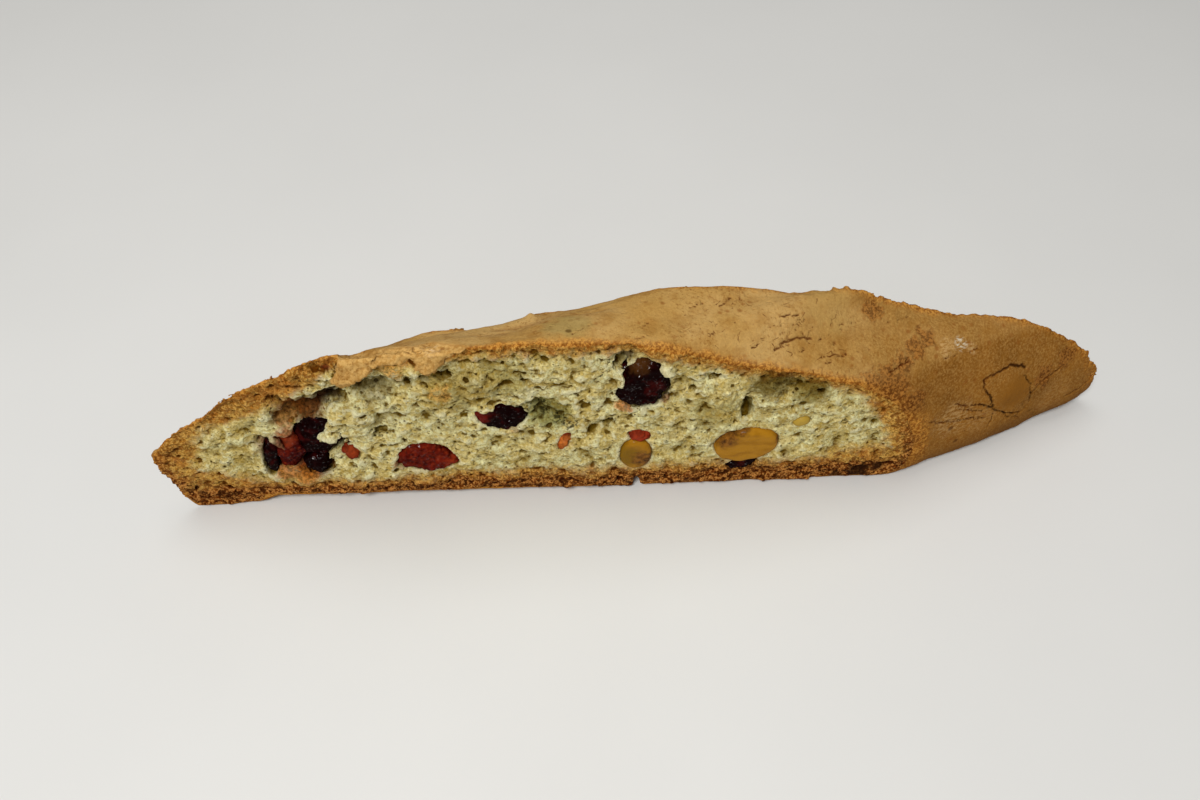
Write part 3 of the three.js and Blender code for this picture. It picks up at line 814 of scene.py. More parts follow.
bumpy = np.array([turbulence.noise(Vector(place) / (7 * MM)) for place in points(dough)])
share(dough, "open", crumb * soft(bumpy, -0.1, 0.25))
share(dough, "close", crumb * soft(bumpy, 0.3, -0.3))
share(dough, "torn_crust", flap)
share(dough, "cut_edge", soft(depths, 1.6, 0.5) * soft(rim, 1.6, 0.8) * (1 - flap) * soft(up, 1.5, 4))
share(dough, "far_edge", far_edge)
middle = soft(along, 16, 28) * soft(along, 98, 82) * (0.3 + 0.7 * soft(up, 12, 20))
share(dough, "torn_crumb", crumb * level_beside * (0.3 + 0.7 * middle))
lying = bpy.data.objects.new("lying", None)
lying.scale = (1.35, 1, 1)
relief("swells", cloud("swells", 5, 1), 1.7, 0.5, "crumb")
apply(dough, "DISPLACE", texture=cloud("tears", 2.8, 2, hard=True), texture_coords="OBJECT",
      texture_coords_object=lying, strength=-1.5 * MM, mid_level=0.3, vertex_group="torn_crumb")
relief("clods", cloud("clods", 1.7, 3), 1.3, 0.45, "crumb")
relief("crumbs", cloud("crumbs", 0.75, 1, hard=True), 0.45, 0.28, "crumb")
relief("pores", pits("pores", 1.4, 0.24), 0.8, 1, "close")
relief("holes", pits("holes", 3.4, 0.22), 1.6, 1, "open")
relief("torn", cloud("torn", 1.8, 2, hard=True), 0.7, 0.4, "torn_crust")
relief("torn_fine", cloud("torn_fine", 0.7, 1, hard=True), 0.3, 0.3, "torn_crust")
relief("ripples", cloud("ripples", 5, 2), 0.45, 0.5, "crust")
relief("pimples", cloud("pimples", 1.3, 2), 0.16, 0.5, "crust")
relief("edge_grains", cloud("edge_grains", 0.8, 1, hard=True), 0.5, 0.35, "cut_edge")
relief("edge_crumbs", cloud("edge_crumbs", 1.3, 3), 0.8, 0.45, "far_edge")
shift = np.sum((points(dough) - before_relief) * level_out, axis=1) / MM
print(f"the crumb now stands {np.average(shift, weights=crumb):.2f} mm from where it was")
clock("relief")

# %% [markdown]
# A finish can paint shade where the relief lies low and light where it stands out, once each point
# knows which it does. The skin is averaged with its neighbours again and again, and what a point loses
# by that is how proud it stood: a few rounds find single crumbs and pores, many rounds find whole
# clods and hollows.

# %% How proud each point stands
ends = np.empty(len(dough.data.edges) * 2, np.int64)
dough.data.edges.foreach_get("vertices", ends)
here, there = np.concatenate([ends, ends.reshape(-1, 2)[:, ::-1].ravel()]).reshape(-1, 2).T
neighbours = np.bincount(here)


def averaged(places, rounds):
    """The places after a number of rounds in which each is replaced by the mean of its neighbours."""
    for _ in range(rounds):
        sums = [np.bincount(here, column[there]) for column in places.T]
        places = np.stack(sums, axis=1) / neighbours[:, None]
    return places


rough_spots = points(dough)
soft_spots = averaged(rough_spots, 10)
softer_spots = averaged(soft_spots, 70)
outward = averaged(facing(dough), 30)
outward /= np.linalg.norm(outward, axis=1)[:, None]
proud = np.sum((rough_spots - soft_spots) * outward, axis=1) / MM
swollen = np.sum((soft_spots - softer_spots) * outward, axis=1) / MM
clock(f"crumbs stand proud by {proud.std():.2f} mm, clods by {swollen.std():.2f} mm")

# %% [markdown]
# The crust cracked where it was stretched: in a ring round the nut under the heel, in short fissures on
# the dome, and where the torn edge folds over. Each crack is a chain of places on the crust, made jagged,
# and the points near it sink in.

# %% Cracks in the crust
CRACKS = {
    "nut_ring_top": (0.34, (140.5, 6.5, 18.7), (141.3, 7, 18.9), (143.9, 8.2, 19), (145.5, 8.9, 19.2),
                     (147.6, 9.5, 18.3), (149, 9.7, 17.6)),
    "nut_ring_left": (0.24, (140.5, 6.5, 18.7), (141.1, 5.9, 16.7), (142.7, 5.7, 14.5), (144, 5.8, 11.4)),
    "nut_ring_foot": (0.25, (144, 5.8, 11.4), (144.6, 5.9, 10.6), (147.9, 6.8, 8.2), (150.8, 8, 6.9)),
    "nut_ring_right": (0.15, (150.8, 8, 6.9), (151.9, 8.7, 8.6), (151.2, 8.6, 12.3), (150.5, 8.8, 14.1),
                       (148.8, 9.1, 16.5)),
    "left_branch": (0.22, (143.9, 5.8, 11.7), (141.1, 5.2, 13.5), (137.9, 4.2, 14.3), (136.5, 3.9, 15.4)),
    "down_branch": (0.15, (144.3, 5.6, 10.2), (144.3, 5.3, 7.8), (144.1, 4.9, 6.3)),
    "heel_fold": (0.12, (130.7, 1.2, 14.6), (133.4, 2.1, 12.9), (136.8, 3.2, 11.5), (140.6, 4.5, 10.8)),
    "tip_groove": (0.22, (160.1, 11.3, 6.5), (163.4, 13, 6.6), (164.9, 13.9, 7.4)),
    "dome_long": (0.25, (102.5, 3.1, 33.7), (103.5, 3.7, 33.6), (103.9, 4.2, 33.8), (105.1, 4.8, 33.7),
                  (106.3, 5.3, 33.5), (109, 6, 32.6)),
    "dome_low": (0.13, (105.8, 3.1, 32.6), (106.8, 3.5, 32.4), (107.9, 4.2, 32.2)),
    "dome_zigzag": (0.14, (110, 3.1, 31.4), (111.8, 3.5, 30.9), (112.5, 4.1, 30.8), (113.5, 3.6, 30.4),
                    (114.8, 4.5, 30.2)),
    "dome_short": (0.11, (110.8, 2.2, 30.8), (112, 2.7, 30.6)),
    "dome_right": (0.11, (109.2, 5.6, 32.2), (110.7, 6.2, 31.9)),
    "dome_steep": (0.11, (112.1, 4.7, 31), (113.3, 6.3, 31)),
    "dome_left": (0.11, (98.9, 2.6, 34.9), (99.8, 3.3, 35), (101.8, 4.7, 35.1)),
    "dome_back": (0.11, (114.3, 8, 31.3), (114.5, 8.9, 31.7)),
    "ridge_flat": (0.15, (104.2, 8, 36), (105.7, 8.4, 35.6), (107.1, 8.8, 35.2)),
    "ridge_left": (0.13, (98.3, 5.7, 36.8), (99.3, 6.2, 36.7), (100.4, 6.8, 36.7)),
    "ridge_far": (0.13, (89.8, 9.3, 37.4), (90.8, 10, 37.2), (92, 10.6, 37)),
    "ridge_top": (0.13, (95.3, 11.2, 36.4), (96.8, 12.2, 36.2)),
    "middle_a": (0.12, (80.5, 1.3, 40), (81.5, 1.5, 39.9), (82.6, 2.2, 39.6)),
    "middle_b": (0.14, (81.9, 4, 39.3), (82.3, 5, 39), (83.1, 5.4, 38.8)),
    "nut_under_dome": (0.14, (71.1, 2, 40.8), (72.9, 3.5, 40.4), (74.9, 5.3, 39.9)),
    "back_corner": (0.19, (122.9, 11.2, 29.4), (125.2, 12.1, 29), (126.8, 13, 28.8)),
    "shoulder": (0.14, (123.7, 3.9, 26.8), (125.6, 5.1, 26.8)),
    "tear_upper": (0.22, (45.8, 0.3, 41), (47.7, 0.2, 40.8), (48.3, 0, 40.3), (49.4, 0.3, 41)),
    "tear_lower": (0.25, (48.6, -0.4, 39.6), (50.1, -0.3, 39.9), (52.4, 0, 38.9), (54, 0.1, 39.9)),
    "heel_line": (0.13, (131.5, 1.5, 13.4), (135, 2.6, 12.4), (138, 3.7, 11.9)),
    "heel_high": (0.14, (135.5, 3.7, 16.1), (138.5, 4.4, 14), (141, 5.2, 13.4), (143.3, 5.6, 11.7)),
    "heel_middle": (0.13, (136.2, 3.6, 14.6), (139.2, 4.4, 12.8), (142.2, 5.2, 11.4)),
    "heel_low": (0.13, (133.4, 2.1, 12.9), (137.3, 3.4, 11.1), (140, 4.3, 10.8), (142.7, 5, 9.6)),
    "under_ring": (0.13, (146.9, 6.4, 8.2), (149.2, 7.1, 6.5), (151.3, 8.1, 5.3)),
    "right_of_ring": (0.12, (149.9, 7.9, 10.1), (152.3, 8.7, 6.5), (155.2, 9.8, 3.2)),
    "ring_to_tip": (0.2, (151.5, 8.6, 10.9), (152.6, 9.5, 12.6), (154.4, 10.5, 13.4), (157, 12, 14.5)),
    "flour_line": (0.12, (132, 6.5, 25.2), (135.4, 7.6, 24.7), (138.5, 8.9, 24.5)),
    "streak_line": (0.14, (122, 2.8, 26.9), (124.8, 4.7, 26.9), (126.2, 6.2, 27.3)),
}
print(f"{len(CRACKS)} cracks")

# %% [markdown]
# Besides those, short fissures crowd on top of the loaf. Each is a short jagged chain with a random
# place, direction, length and width, seen from above, so it needs no height: any crust under it sinks in.

# %% Fissures, and the depth of both
rng = np.random.default_rng(7)
CRACK_STEP = 0.1
WANDER_STEP = 4  # how many steps a crack goes before it wanders another way
CRUST_FACES = (0.3, -0.7, 0.6)  # roughly the way that the cracked crust faces


def jagged(corners, rough=0.14):
    """Places in small steps along a chain, wandering a little from side to side."""
    line = []
    for one, other in zip(corners[:-1], corners[1:]):
        one, other = np.array(one, float), np.array(other, float)
        count = max(2, int(np.linalg.norm(other - one) / CRACK_STEP))
        knots = np.arange(0, count + WANDER_STEP, WANDER_STEP)
        wander = np.interp(np.arange(count), knots, rng.normal(0, rough, len(knots)))
        across = np.cross(other - one, CRUST_FACES)
        across /= np.linalg.norm(across) + 1e-9
        line += [one + (other - one) * i / count + across * wander[i] for i in range(count)]
    return line


# Where fissures crowd, along and into the slice, and how many there are.
FISSURES = (
    ((103, 113), (2, 9), 26), ((92, 104), (3, 12), 18), ((112, 124), (4, 12), 10), ((70, 92), (2, 11), 12),
    ((45, 70), (2, 10), 5),
)
on_skin = [(place, width) for width, *corners in CRACKS.values() for place in jagged(corners)]
in_plan = []
for (low_x, high_x), (low_y, high_y), count in FISSURES:
    for _ in range(count):
        x, y = rng.uniform(low_x, high_x), rng.uniform(low_y, high_y)
        way, reach, width = rng.normal(0.6, 0.35), rng.uniform(0.3, 1.5), rng.uniform(0.07, 0.14)
        steps = [(x + reach * t * math.cos(way), y + reach * t * math.sin(way), 0) for t in (0, 0.5, 1)]
        in_plan += [((place[0], place[1], 0), width) for place in jagged(steps, 0.1)]


def tree_of(lines):
    """A tree that finds the nearest of many places quickly."""
    tree = kdtree.KDTree(len(lines))
    for i, (place, _) in enumerate(lines):
        tree.insert(place, i)
    tree.balance()
    return tree


skin_tree, plan_tree = tree_of(on_skin), tree_of(in_plan)


def cracked(spots, rim, upward, widen=0):
    """1 in the bottom of a crack and 0 beside it, from each point's distance to the crust line and tilt."""
    local = (spots - np.array(HOME)) / MM
    result = np.zeros(len(spots))
    for i in np.nonzero((rim < 0.9) & (local[:, 2] > 1))[0].tolist():
        _, which, away = skin_tree.find(local[i].tolist())
        if away < 1.5:
            result[i] = 1 - min(1, max(0, (away - 0.05 - widen) / on_skin[which][1]))
        if upward[i] > 0.35 and local[i][1] > 0.8:
            _, which, away = plan_tree.find((local[i][0], local[i][1], 0))
            result[i] = max(result[i], 0.8 * (1 - min(1, max(0, (away - widen) / in_plan[which][1]))))
    return result


clock(f"{sum(count for *_, count in FISSURES)} fissures")

# %% [markdown]
# What was measured here is lost once the skin is thinned, unless it is written on the points. Thinning
# then carries each number along, and the finish reads them as attributes.

# %% What the finish will read
note(dough, "proud", np.clip(proud, -1, 1))
note(dough, "swollen", np.clip(swollen, -2, 2))
note(dough, "rim", np.clip(rim, -1, 15))
note(dough, "open_crumb", crumb)
note(dough, "hanging", flap)
note(dough, "upward", upward)
print(f"{len(dough.data.attributes)} attributes on the dough")

# %% [markdown]
# A piece is only useful when it stays light, so the skin is thinned where it is smooth. The cracks are thin
# and would be lost by that, so they wait. Thinning can fold a thread of crumb flat and leave two faces back
# to back on the same three points, tied to nothing else; those are found by their points and deleted.

# %% Thinning
TRIANGLES = 172000
apply(dough, "TRIANGULATE")
apply(dough, "DECIMATE", ratio=min(1, TRIANGLES / len(dough.data.polygons)))
clock(f"thinned: {len(dough.data.polygons)} faces")


def corners_of(piece):
    """The three points of every face of a triangulated piece."""
    corners = np.empty(len(piece.data.loops), np.int64)
    piece.data.loops.foreach_get("vertex_index", corners)
    return corners.reshape(-1, 3)


def edit_faces(piece, chosen, operator, **settings):
    """Runs one edit-mode operator on the chosen faces alone."""
    take(piece)
    bpy.ops.object.mode_set(mode="EDIT")
    bpy.ops.mesh.select_mode(type="FACE")
    bpy.ops.mesh.select_all(action="DESELECT")
    bpy.ops.object.mode_set(mode="OBJECT")
    piece.data.polygons.foreach_set("select", chosen)
    bpy.ops.object.mode_set(mode="EDIT")
    operator(**settings)
    bpy.ops.object.mode_set(mode="OBJECT")


trios = np.sort(corners_of(dough), axis=1)
_, kind, count = np.unique(trios, axis=0, return_inverse=True, return_counts=True)
folded = count[kind.ravel()] > 1
edit_faces(dough, folded, bpy.ops.mesh.delete, type="FACE")
clock(f"{np.count_nonzero(folded)} folded faces deleted")

# %% [markdown]
# Cracks need finer faces than the thinned skin has. Only the faces beside a crack are divided, and the
# points that are then in its bottom sink in by a Displace modifier.

# %% Cracks sink in
CRACK_DEPTH = 0.45
BESIDE_CRACK = 0.45


def read(piece, name):
    """One number per point, as it was noted on the piece."""
    values = np.empty(len(piece.data.vertices))
    piece.data.attributes[name].data.foreach_get("value", values)
    return values


band = cracked(points(dough), read(dough, "rim"), read(dough, "upward"), BESIDE_CRACK) > 0
edit_faces(dough, band[corners_of(dough)].any(axis=1), bpy.ops.mesh.subdivide, number_cuts=2)
apply(dough, "TRIANGULATE")
crack = cracked(points(dough), read(dough, "rim"), read(dough, "upward"))
share(dough, "cracks", crack)
apply(dough, "DISPLACE", strength=-CRACK_DEPTH * MM, mid_level=0, vertex_group="cracks")
note(dough, "crack", crack)
for name, column in zip(("along", "into", "up"), points(dough).T):
    note(dough, name, column)
clock(f"{np.count_nonzero(crack)} points lie in a crack, {len(dough.data.polygons)} faces in all")
for polygon in dough.data.polygons:
    polygon.use_smooth = True
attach(dough, "root")
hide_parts("biscuit")
bpy.data.objects.remove(plain_dough)

# %% [markdown]
# One finish carries the whole slice. It blends from crust to crumb by the numbers that each point was
# given: how far it lies inside the crust line, whether it stands proud, and whether it lies in a crack.
# Grain comes from noise at the size of single crumbs.
#
# It starts with the crumb: rounded grains in an uneven noise, lighter on their tops and darker between
# them, partly the crumb's own tone and partly painted light and shade, since the same grain makes the
# bump; warmer in patches, mottled, with olive painted shade where the crumb lies low and an almost
# white painted highlight where it stands out.

# %% Crumb colours
baked = Finish("baked_dough")
along, depth_in, height = (baked.attribute(name) for name in ("along", "into", "up"))
proud, swollen = baked.attribute("proud"), baked.attribute("swollen")
is_crumb = baked.between(baked.attribute("open_crumb"), 0.25, 0.75)


def grain_of(finish, size, shift=0):
    """Rounded grains, 1 on top and 0 between them, mostly lost in an uneven noise."""
    rounded = finish.between(finish.cells(size, shift=shift), 0.15, 0.75, 1, 0)
    uneven = finish.between(finish.noise(1.1 * size, 4, 0.7, shift=shift), 0.32, 0.68)
    return finish.plus(finish.times(rounded, 0.22), finish.times(uneven, 0.78))


grain = grain_of(baked, 0.6)
# Lighter grain tops and darker gaps: partly the crumb's own tone, partly painted light and shade.
grains = baked.between(grain, 0.12, 0.7)
patchy = baked.between(baked.noise(4, 3, shift=3), 0.42, 0.6)
pale = baked.blend(grains, srgb(222, 202, 128), srgb(255, 248, 188))
warm = baked.blend(grains, srgb(216, 188, 102), srgb(252, 232, 158))
pale = baked.blend(patchy, pale, warm)
mottle_here = baked.between(baked.noise(7, 2, shift=13), 0.4, 0.62, 0.25, 0.75)
mottle = baked.between(baked.noise(1.5, 4, 0.62, (1.3, 1, 1), shift=15), 0.48, 0.62)
pale = baked.tint(pale, baked.times(mottle, mottle_here), 184, 152, 66)
# Painted shade, olive where clods lie low and darker in the gaps between crumbs; a painted highlight where
# crumbs stand proud.
pale = baked.tint(pale, baked.between(swollen, 0.1, -0.6, 0, 0.85), 152, 124, 36)
pale = baked.tint(pale, baked.between(proud, -0.05, -0.28, 0, 0.95), 108, 80, 8)
pale = baked.tint(pale, baked.between(proud, 0.1, 0.3, 0, 0.6), 255, 250, 206)
clock(f"crumb colours: {len(baked.tree.nodes)} nodes")

# %% [markdown]
# Pores finer than the mesh are painted: dark spots that are painted shade in holes the mesh lacks.
# They are the middles of cells in two sizes, pushed out of round by a noise, and a wider noise keeps them
# to some places only.

# %% Fine pores
warped = baked.noise(0.5, 2, shift=21)
pinholes = baked.plus(baked.cells(1.1, (1.3, 1, 1), shift=5), baked.times(warped, 0.16))
pinholes = baked.between(pinholes, 0.17, 0.27, 1, 0)
pinholes = baked.times(pinholes, baked.between(baked.noise(2.6, 2, shift=9), 0.42, 0.6, 0, 0.9))
# Painted shade in the pinholes.
pale = baked.tint(pale, pinholes, 84, 60, 4)
fine_holes = baked.plus(baked.cells(0.75, (1.2, 1, 1), shift=36), baked.times(warped, 0.2))
fine_holes = baked.times(baked.between(fine_holes, 0.24, 0.36, 1, 0),
                         baked.between(baked.noise(1.9, 2, shift=37), 0.44, 0.58, 0, 0.8))
# Painted shade in the finer holes.
pale = baked.tint(pale, fine_holes, 124, 98, 20)
clock(f"pores: {len(baked.tree.nodes)} nodes")

# %% [markdown]
# Next comes the toast: a golden band inside the crust line and over the base, with a narrower brown one
# at its outside, both with a wandering edge. They are widest round the nose, at the shoulder and at the
# heel. Inside them the grains are coarser, some are burnt, and what lies low gets painted shade.

# %% How far the toast reaches
# Where the bands are wider: the place, how far that goes, and by how much.
BROWNED = {
    "nose": ((2, 7, 12), 16, 3.4),
    "shoulder": ((22, 3, 34), 16, 2.4),
    "heel": ((125, 5, 12), 15, 2.2),
}
extra = 0.0
for place, radius, wider in BROWNED.values():
    extra = baked.plus(baked.times(baked.near(place, radius, 4, 4), wider), extra)
wander = baked.times(baked.minus(baked.noise(1.8, 3), 0.5), 4)
edge = baked.plus(baked.attribute("rim"), wander)
rim_way = baked.minus(edge, extra)
brown_way = baked.minus(edge, baked.times(extra, 0.45))
base_way = baked.plus(height, baked.times(wander, 0.8 * MM))
gold_base_way = baked.minus(base_way, baked.times(extra, 1.4 * MM))
golden_zone = baked.most(baked.between(rim_way, 1.6, 4.4, 0.95, 0),
                         baked.between(gold_base_way, 5.4 * MM, 9.4 * MM, 0.95, 0))
brown_zone = baked.most(baked.between(brown_way, 0.6, 2.5, 0.9, 0),
                        baked.between(base_way, 4.2 * MM, 6.8 * MM, 1, 0))
clock(f"toasted zones: {len(baked.tree.nodes)} nodes")

# %% [markdown]
# Golden and brown each run from dark to light by the grain. They darken in blotches, and high on the
# slice the brown turns back towards gold, because the tray only burns the base.

# %% Toast colours
toast_grain = baked.between(grain_of(baked, 0.45, 2), 0.24, 0.72)
golden = baked.blend(toast_grain, srgb(190, 128, 44), srgb(236, 186, 92))
blushing = baked.between(baked.noise(3.2, 3, shift=23), 0.5, 0.64, 0, 0.6)
golden = baked.tint(golden, blushing, 196, 118, 36)
brown = baked.blend(toast_grain, srgb(116, 54, 6), srgb(218, 150, 76))
burnt = baked.between(baked.noise(0.9, 4, 0.65, (1.5, 1, 1), shift=25), 0.5, 0.57, 0, 0.9)
burnt = baked.times(burnt, baked.between(height, 7 * MM, 20 * MM, 1, 0.75))
singed = baked.blend(baked.between(height, 6 * MM, 14 * MM), srgb(60, 20, 0), srgb(92, 34, 4))
brown = baked.blend(burnt, brown, singed)
golden = baked.tint(golden, baked.times(burnt, 0.7), 124, 58, 6)
# Painted shade where the toast lies low.
toast_low_shade = baked.times(baked.between(proud, -0.06, -0.26),
                         baked.between(baked.attribute("rim"), 1.2, 2.4))
golden = baked.tint(golden, toast_low_shade, 116, 64, 12)
brown = baked.tint(brown, toast_low_shade, 62, 22, 2)
brown = baked.blend(baked.between(height, 8 * MM, 22 * MM, 0, 0.65), brown, golden)
crumb_colour = baked.blend(golden_zone, pale, golden)
crumb_colour = baked.blend(brown_zone, crumb_colour, brown)
# Painted shade in the pinholes inside the toast.
toast_pinhole_shade = baked.times(pinholes, baked.times(golden_zone, 0.8))
crumb_colour = baked.tint(crumb_colour, toast_pinhole_shade, 70, 34, 10)
clock(f"toast: {len(baked.tree.nodes)} nodes")

# %% [markdown]
# The crust is a smooth tan, lighter on top and browner down the sides and towards the far tip. A fine
# fuzz, broad blotches, soot in the finest grain and a few freckles keep it from looking like plastic, and
# painted shade darkens it where it lies low.

# %% Crust colours
patches = baked.between(baked.noise(11, 3), 0.35, 0.65)
fair = baked.blend(patches, srgb(194, 158, 98), srgb(176, 136, 72))
tan = baked.blend(patches, srgb(142, 92, 32), srgb(122, 77, 24))
far_half = baked.between(along, 0.0, 0.075, 0, 0.8)
tilted = baked.times(baked.between(baked.attribute("upward"), 0.85, 0.3),
                     baked.minus(1, baked.attribute("hanging"), clamp=True))
crust_colour = baked.blend(baked.plus(tilted, far_half, clamp=True), fair, tan)
torn_grain = baked.between(baked.noise(0.6, 4, 0.65, shift=11), 0.42, 0.62)
torn = baked.blend(torn_grain, srgb(210, 168, 100), srgb(178, 132, 68))
torn = baked.tint(torn, baked.between(baked.attribute("hanging"), 0.8, 0.35), 160, 98, 32)
crust_colour = baked.blend(baked.attribute("hanging"), crust_colour, torn)
fuzz = baked.between(baked.noise(0.4, 4, 0.7, shift=8), 0.4, 0.65)
crust_colour = baked.tint(crust_colour, baked.times(fuzz, 0.34), 206, 162, 92)
blotch = baked.between(baked.noise(3.4, 4, 0.6, shift=29), 0.46, 0.66, 0, 0.4)
crust_colour = baked.tint(crust_colour, blotch, 146, 98, 36)
soot = baked.between(baked.noise(0.55, 4, 0.72, shift=27), 0.5, 0.66)
sooty = baked.between(baked.noise(9, 3, shift=28), 0.4, 0.6, 0.2, 0.6)
crust_colour = baked.tint(crust_colour, baked.times(soot, sooty), 128, 80, 26)
freckles = baked.between(baked.cells(1.7, shift=4), 0.12, 0.36, 1, 0)
freckles = baked.times(freckles, baked.between(baked.noise(5, 3, shift=6), 0.48, 0.62, 0, 0.6))
crust_colour = baked.tint(crust_colour, freckles, 132, 76, 24)
# Painted shade where the crust lies low.
crust_colour = baked.tint(crust_colour, baked.between(swollen, 0.0, -0.3, 0, 0.5), 124, 76, 28)
clock(f"crust: {len(baked.tree.nodes)} nodes")

# %% [markdown]
# Where the knife went through, the edge of the crust is speckled orange, and the underside is an even
# brown. Low down on the far half the crust gets painted shade near the table. Along the streak over
# the heel and at the tip the skin was rubbed rough, and darker toast shows through.

# %% Cut edges and rough places
far_edge = baked.minus(HOME.y + THICKNESS * MM, depth_in)
edge_way = baked.math("MINIMUM", baked.minus(depth_in, HOME.y), far_edge)
edge_way = baked.plus(edge_way, baked.times(wander, 0.5 * MM))
cut_edge = baked.times(baked.between(edge_way, 0.1 * MM, 1.6 * MM, 0.75, 0),
                       baked.minus(1, baked.attribute("hanging"), clamp=True))
orange = baked.blend(toast_grain, srgb(134, 74, 18), srgb(206, 144, 62))
crust_colour = baked.blend(cut_edge, crust_colour, orange)
# Painted shade on the lower crust of the far half.
shade_near_table = baked.times(baked.between(height, 2 * MM, 9 * MM, 0.7, 0), far_half)
crust_colour = baked.tint(crust_colour, shade_near_table, 92, 56, 22)
crust_colour = baked.tint(crust_colour, baked.between(height, 0.1 * MM, 0.8 * MM, 1, 0), 122, 76, 32)
# The middle and the radius of each rough place.
ROUGH = {
    "streak_a": ((118.4, 1.4, 27.2), 2.2),
    "streak_b": ((121.4, 2.6, 26.9), 2.2),
    "streak_c": ((124.4, 4.6, 26.9), 2.2),
    "streak_d": ((127, 7.2, 27.4), 2.4),
    "streak_e": ((129, 9.4, 27.4), 2),
    "groove": ((153.4, 10, 13), 1.8),
    "shoulder_a": ((122.4, 1.4, 25), 4.4),
    "shoulder_b": ((126.4, 1, 20.8), 3.6),
    "tip_a": ((153.4, 10.3, 14.4), 2.8),
    "tip_b": ((157.6, 12.8, 15.6), 3),
    "far_back": ((120, 12.4, 31), 2.4),
    "heel": ((127.6, 1, 12), 3),
}
roughened = 0.0
for place, radius in ROUGH.values():
    roughened = baked.most(baked.near(place, radius, 5, 1.6), roughened)
scorched = baked.blend(toast_grain, srgb(84, 40, 8), srgb(162, 106, 46))
crust_colour = baked.blend(baked.times(roughened, 0.7), crust_colour, scorched)
clock(f"edges: {len(baked.tree.nodes)} nodes")

# %% [markdown]
# Flour from shaping the loaf lies on the crust in drawn-out streaks, brightest over the heel. Other places
# have a tint of their own: the greenish rise over a hidden nut and the round nut under the heel. A pore
# is darkened with painted shade. Each row gives a middle, a radius, how ragged the edge is, a colour
# and a strength.

# %% Flour and other marks on the crust
streaks = baked.between(baked.noise(0.42, 4, 0.7, (2.6, 1.5, 1), shift=17), 0.44, 0.6)
PATCHES = {
    "green": ((70.3, 4.8, 40.2), 5, 4, (156, 140, 84), 0.5),
    # The pore row is painted shade.
    "pore_shade": ((70.7, 2.8, 40.7), 0.7, 0.5, (92, 66, 28), 0.8),
    "dent": ((112.6, 11.5, 33.6), 6, 5, (178, 144, 82), 0.4),
    "nut": ((147.2, 8, 13.5), 5, 1, (138, 90, 30), 0.9),
    "dot_a": ((136, 2.8, 10.2), 0.7, 0.4, (84, 46, 14), 0.7),
    "dot_b": ((137.9, 3, 6.1), 0.7, 0.4, (84, 46, 14), 0.7),
}
DUST = {
    "flour": ((135.2, 9, 25.9), 1.6, 1.6, (214, 202, 176), 0.95),
    "flour_left": ((132.4, 8, 26.4), 2.2, 3, (200, 162, 106), 0.6),
    "flour_right": ((137.4, 8.8, 24.7), 1.4, 1.6, (202, 166, 112), 0.6),
    "heel_dust": ((136, 3, 12.6), 5.4, 4, (182, 142, 88), 0.8),
    "heel_right": ((141.5, 5, 9.6), 4, 4, (172, 130, 76), 0.6),
    "top_left": ((50, 1, 41.4), 2.4, 3, (232, 200, 150), 0.7),
    "top_right": ((157, 10.4, 8), 5, 4, (166, 124, 70), 0.5),
}
for place, radius, ragged, tone, strength in DUST.values():
    dusted = baked.times(baked.near(place, radius, ragged, 2), baked.times(streaks, strength))
    crust_colour = baked.tint(crust_colour, dusted, *tone)
for place, radius, ragged, tone, strength in PATCHES.values():
    marked = baked.times(baked.near(place, radius, ragged, 2), strength)
    crust_colour = baked.tint(crust_colour, marked, *tone)
clock(f"flour and marks: {len(baked.tree.nodes)} nodes")

# %% [markdown]
# Juice from the fruit stained the crumb round it, and the base is scorched at the heel. The stains are
# ragged blots in rows of the same kind, and they keep the grain of the crumb: darker in its gaps, lighter
# on top, partly painted shade and light. Some rows are painted shade: the cave, its roof and its dark
# back, the recess, and under the flap; the cave row is partly the stain of its floor too. Before them,
# painted shade is multiplied into hollows that stay dim.

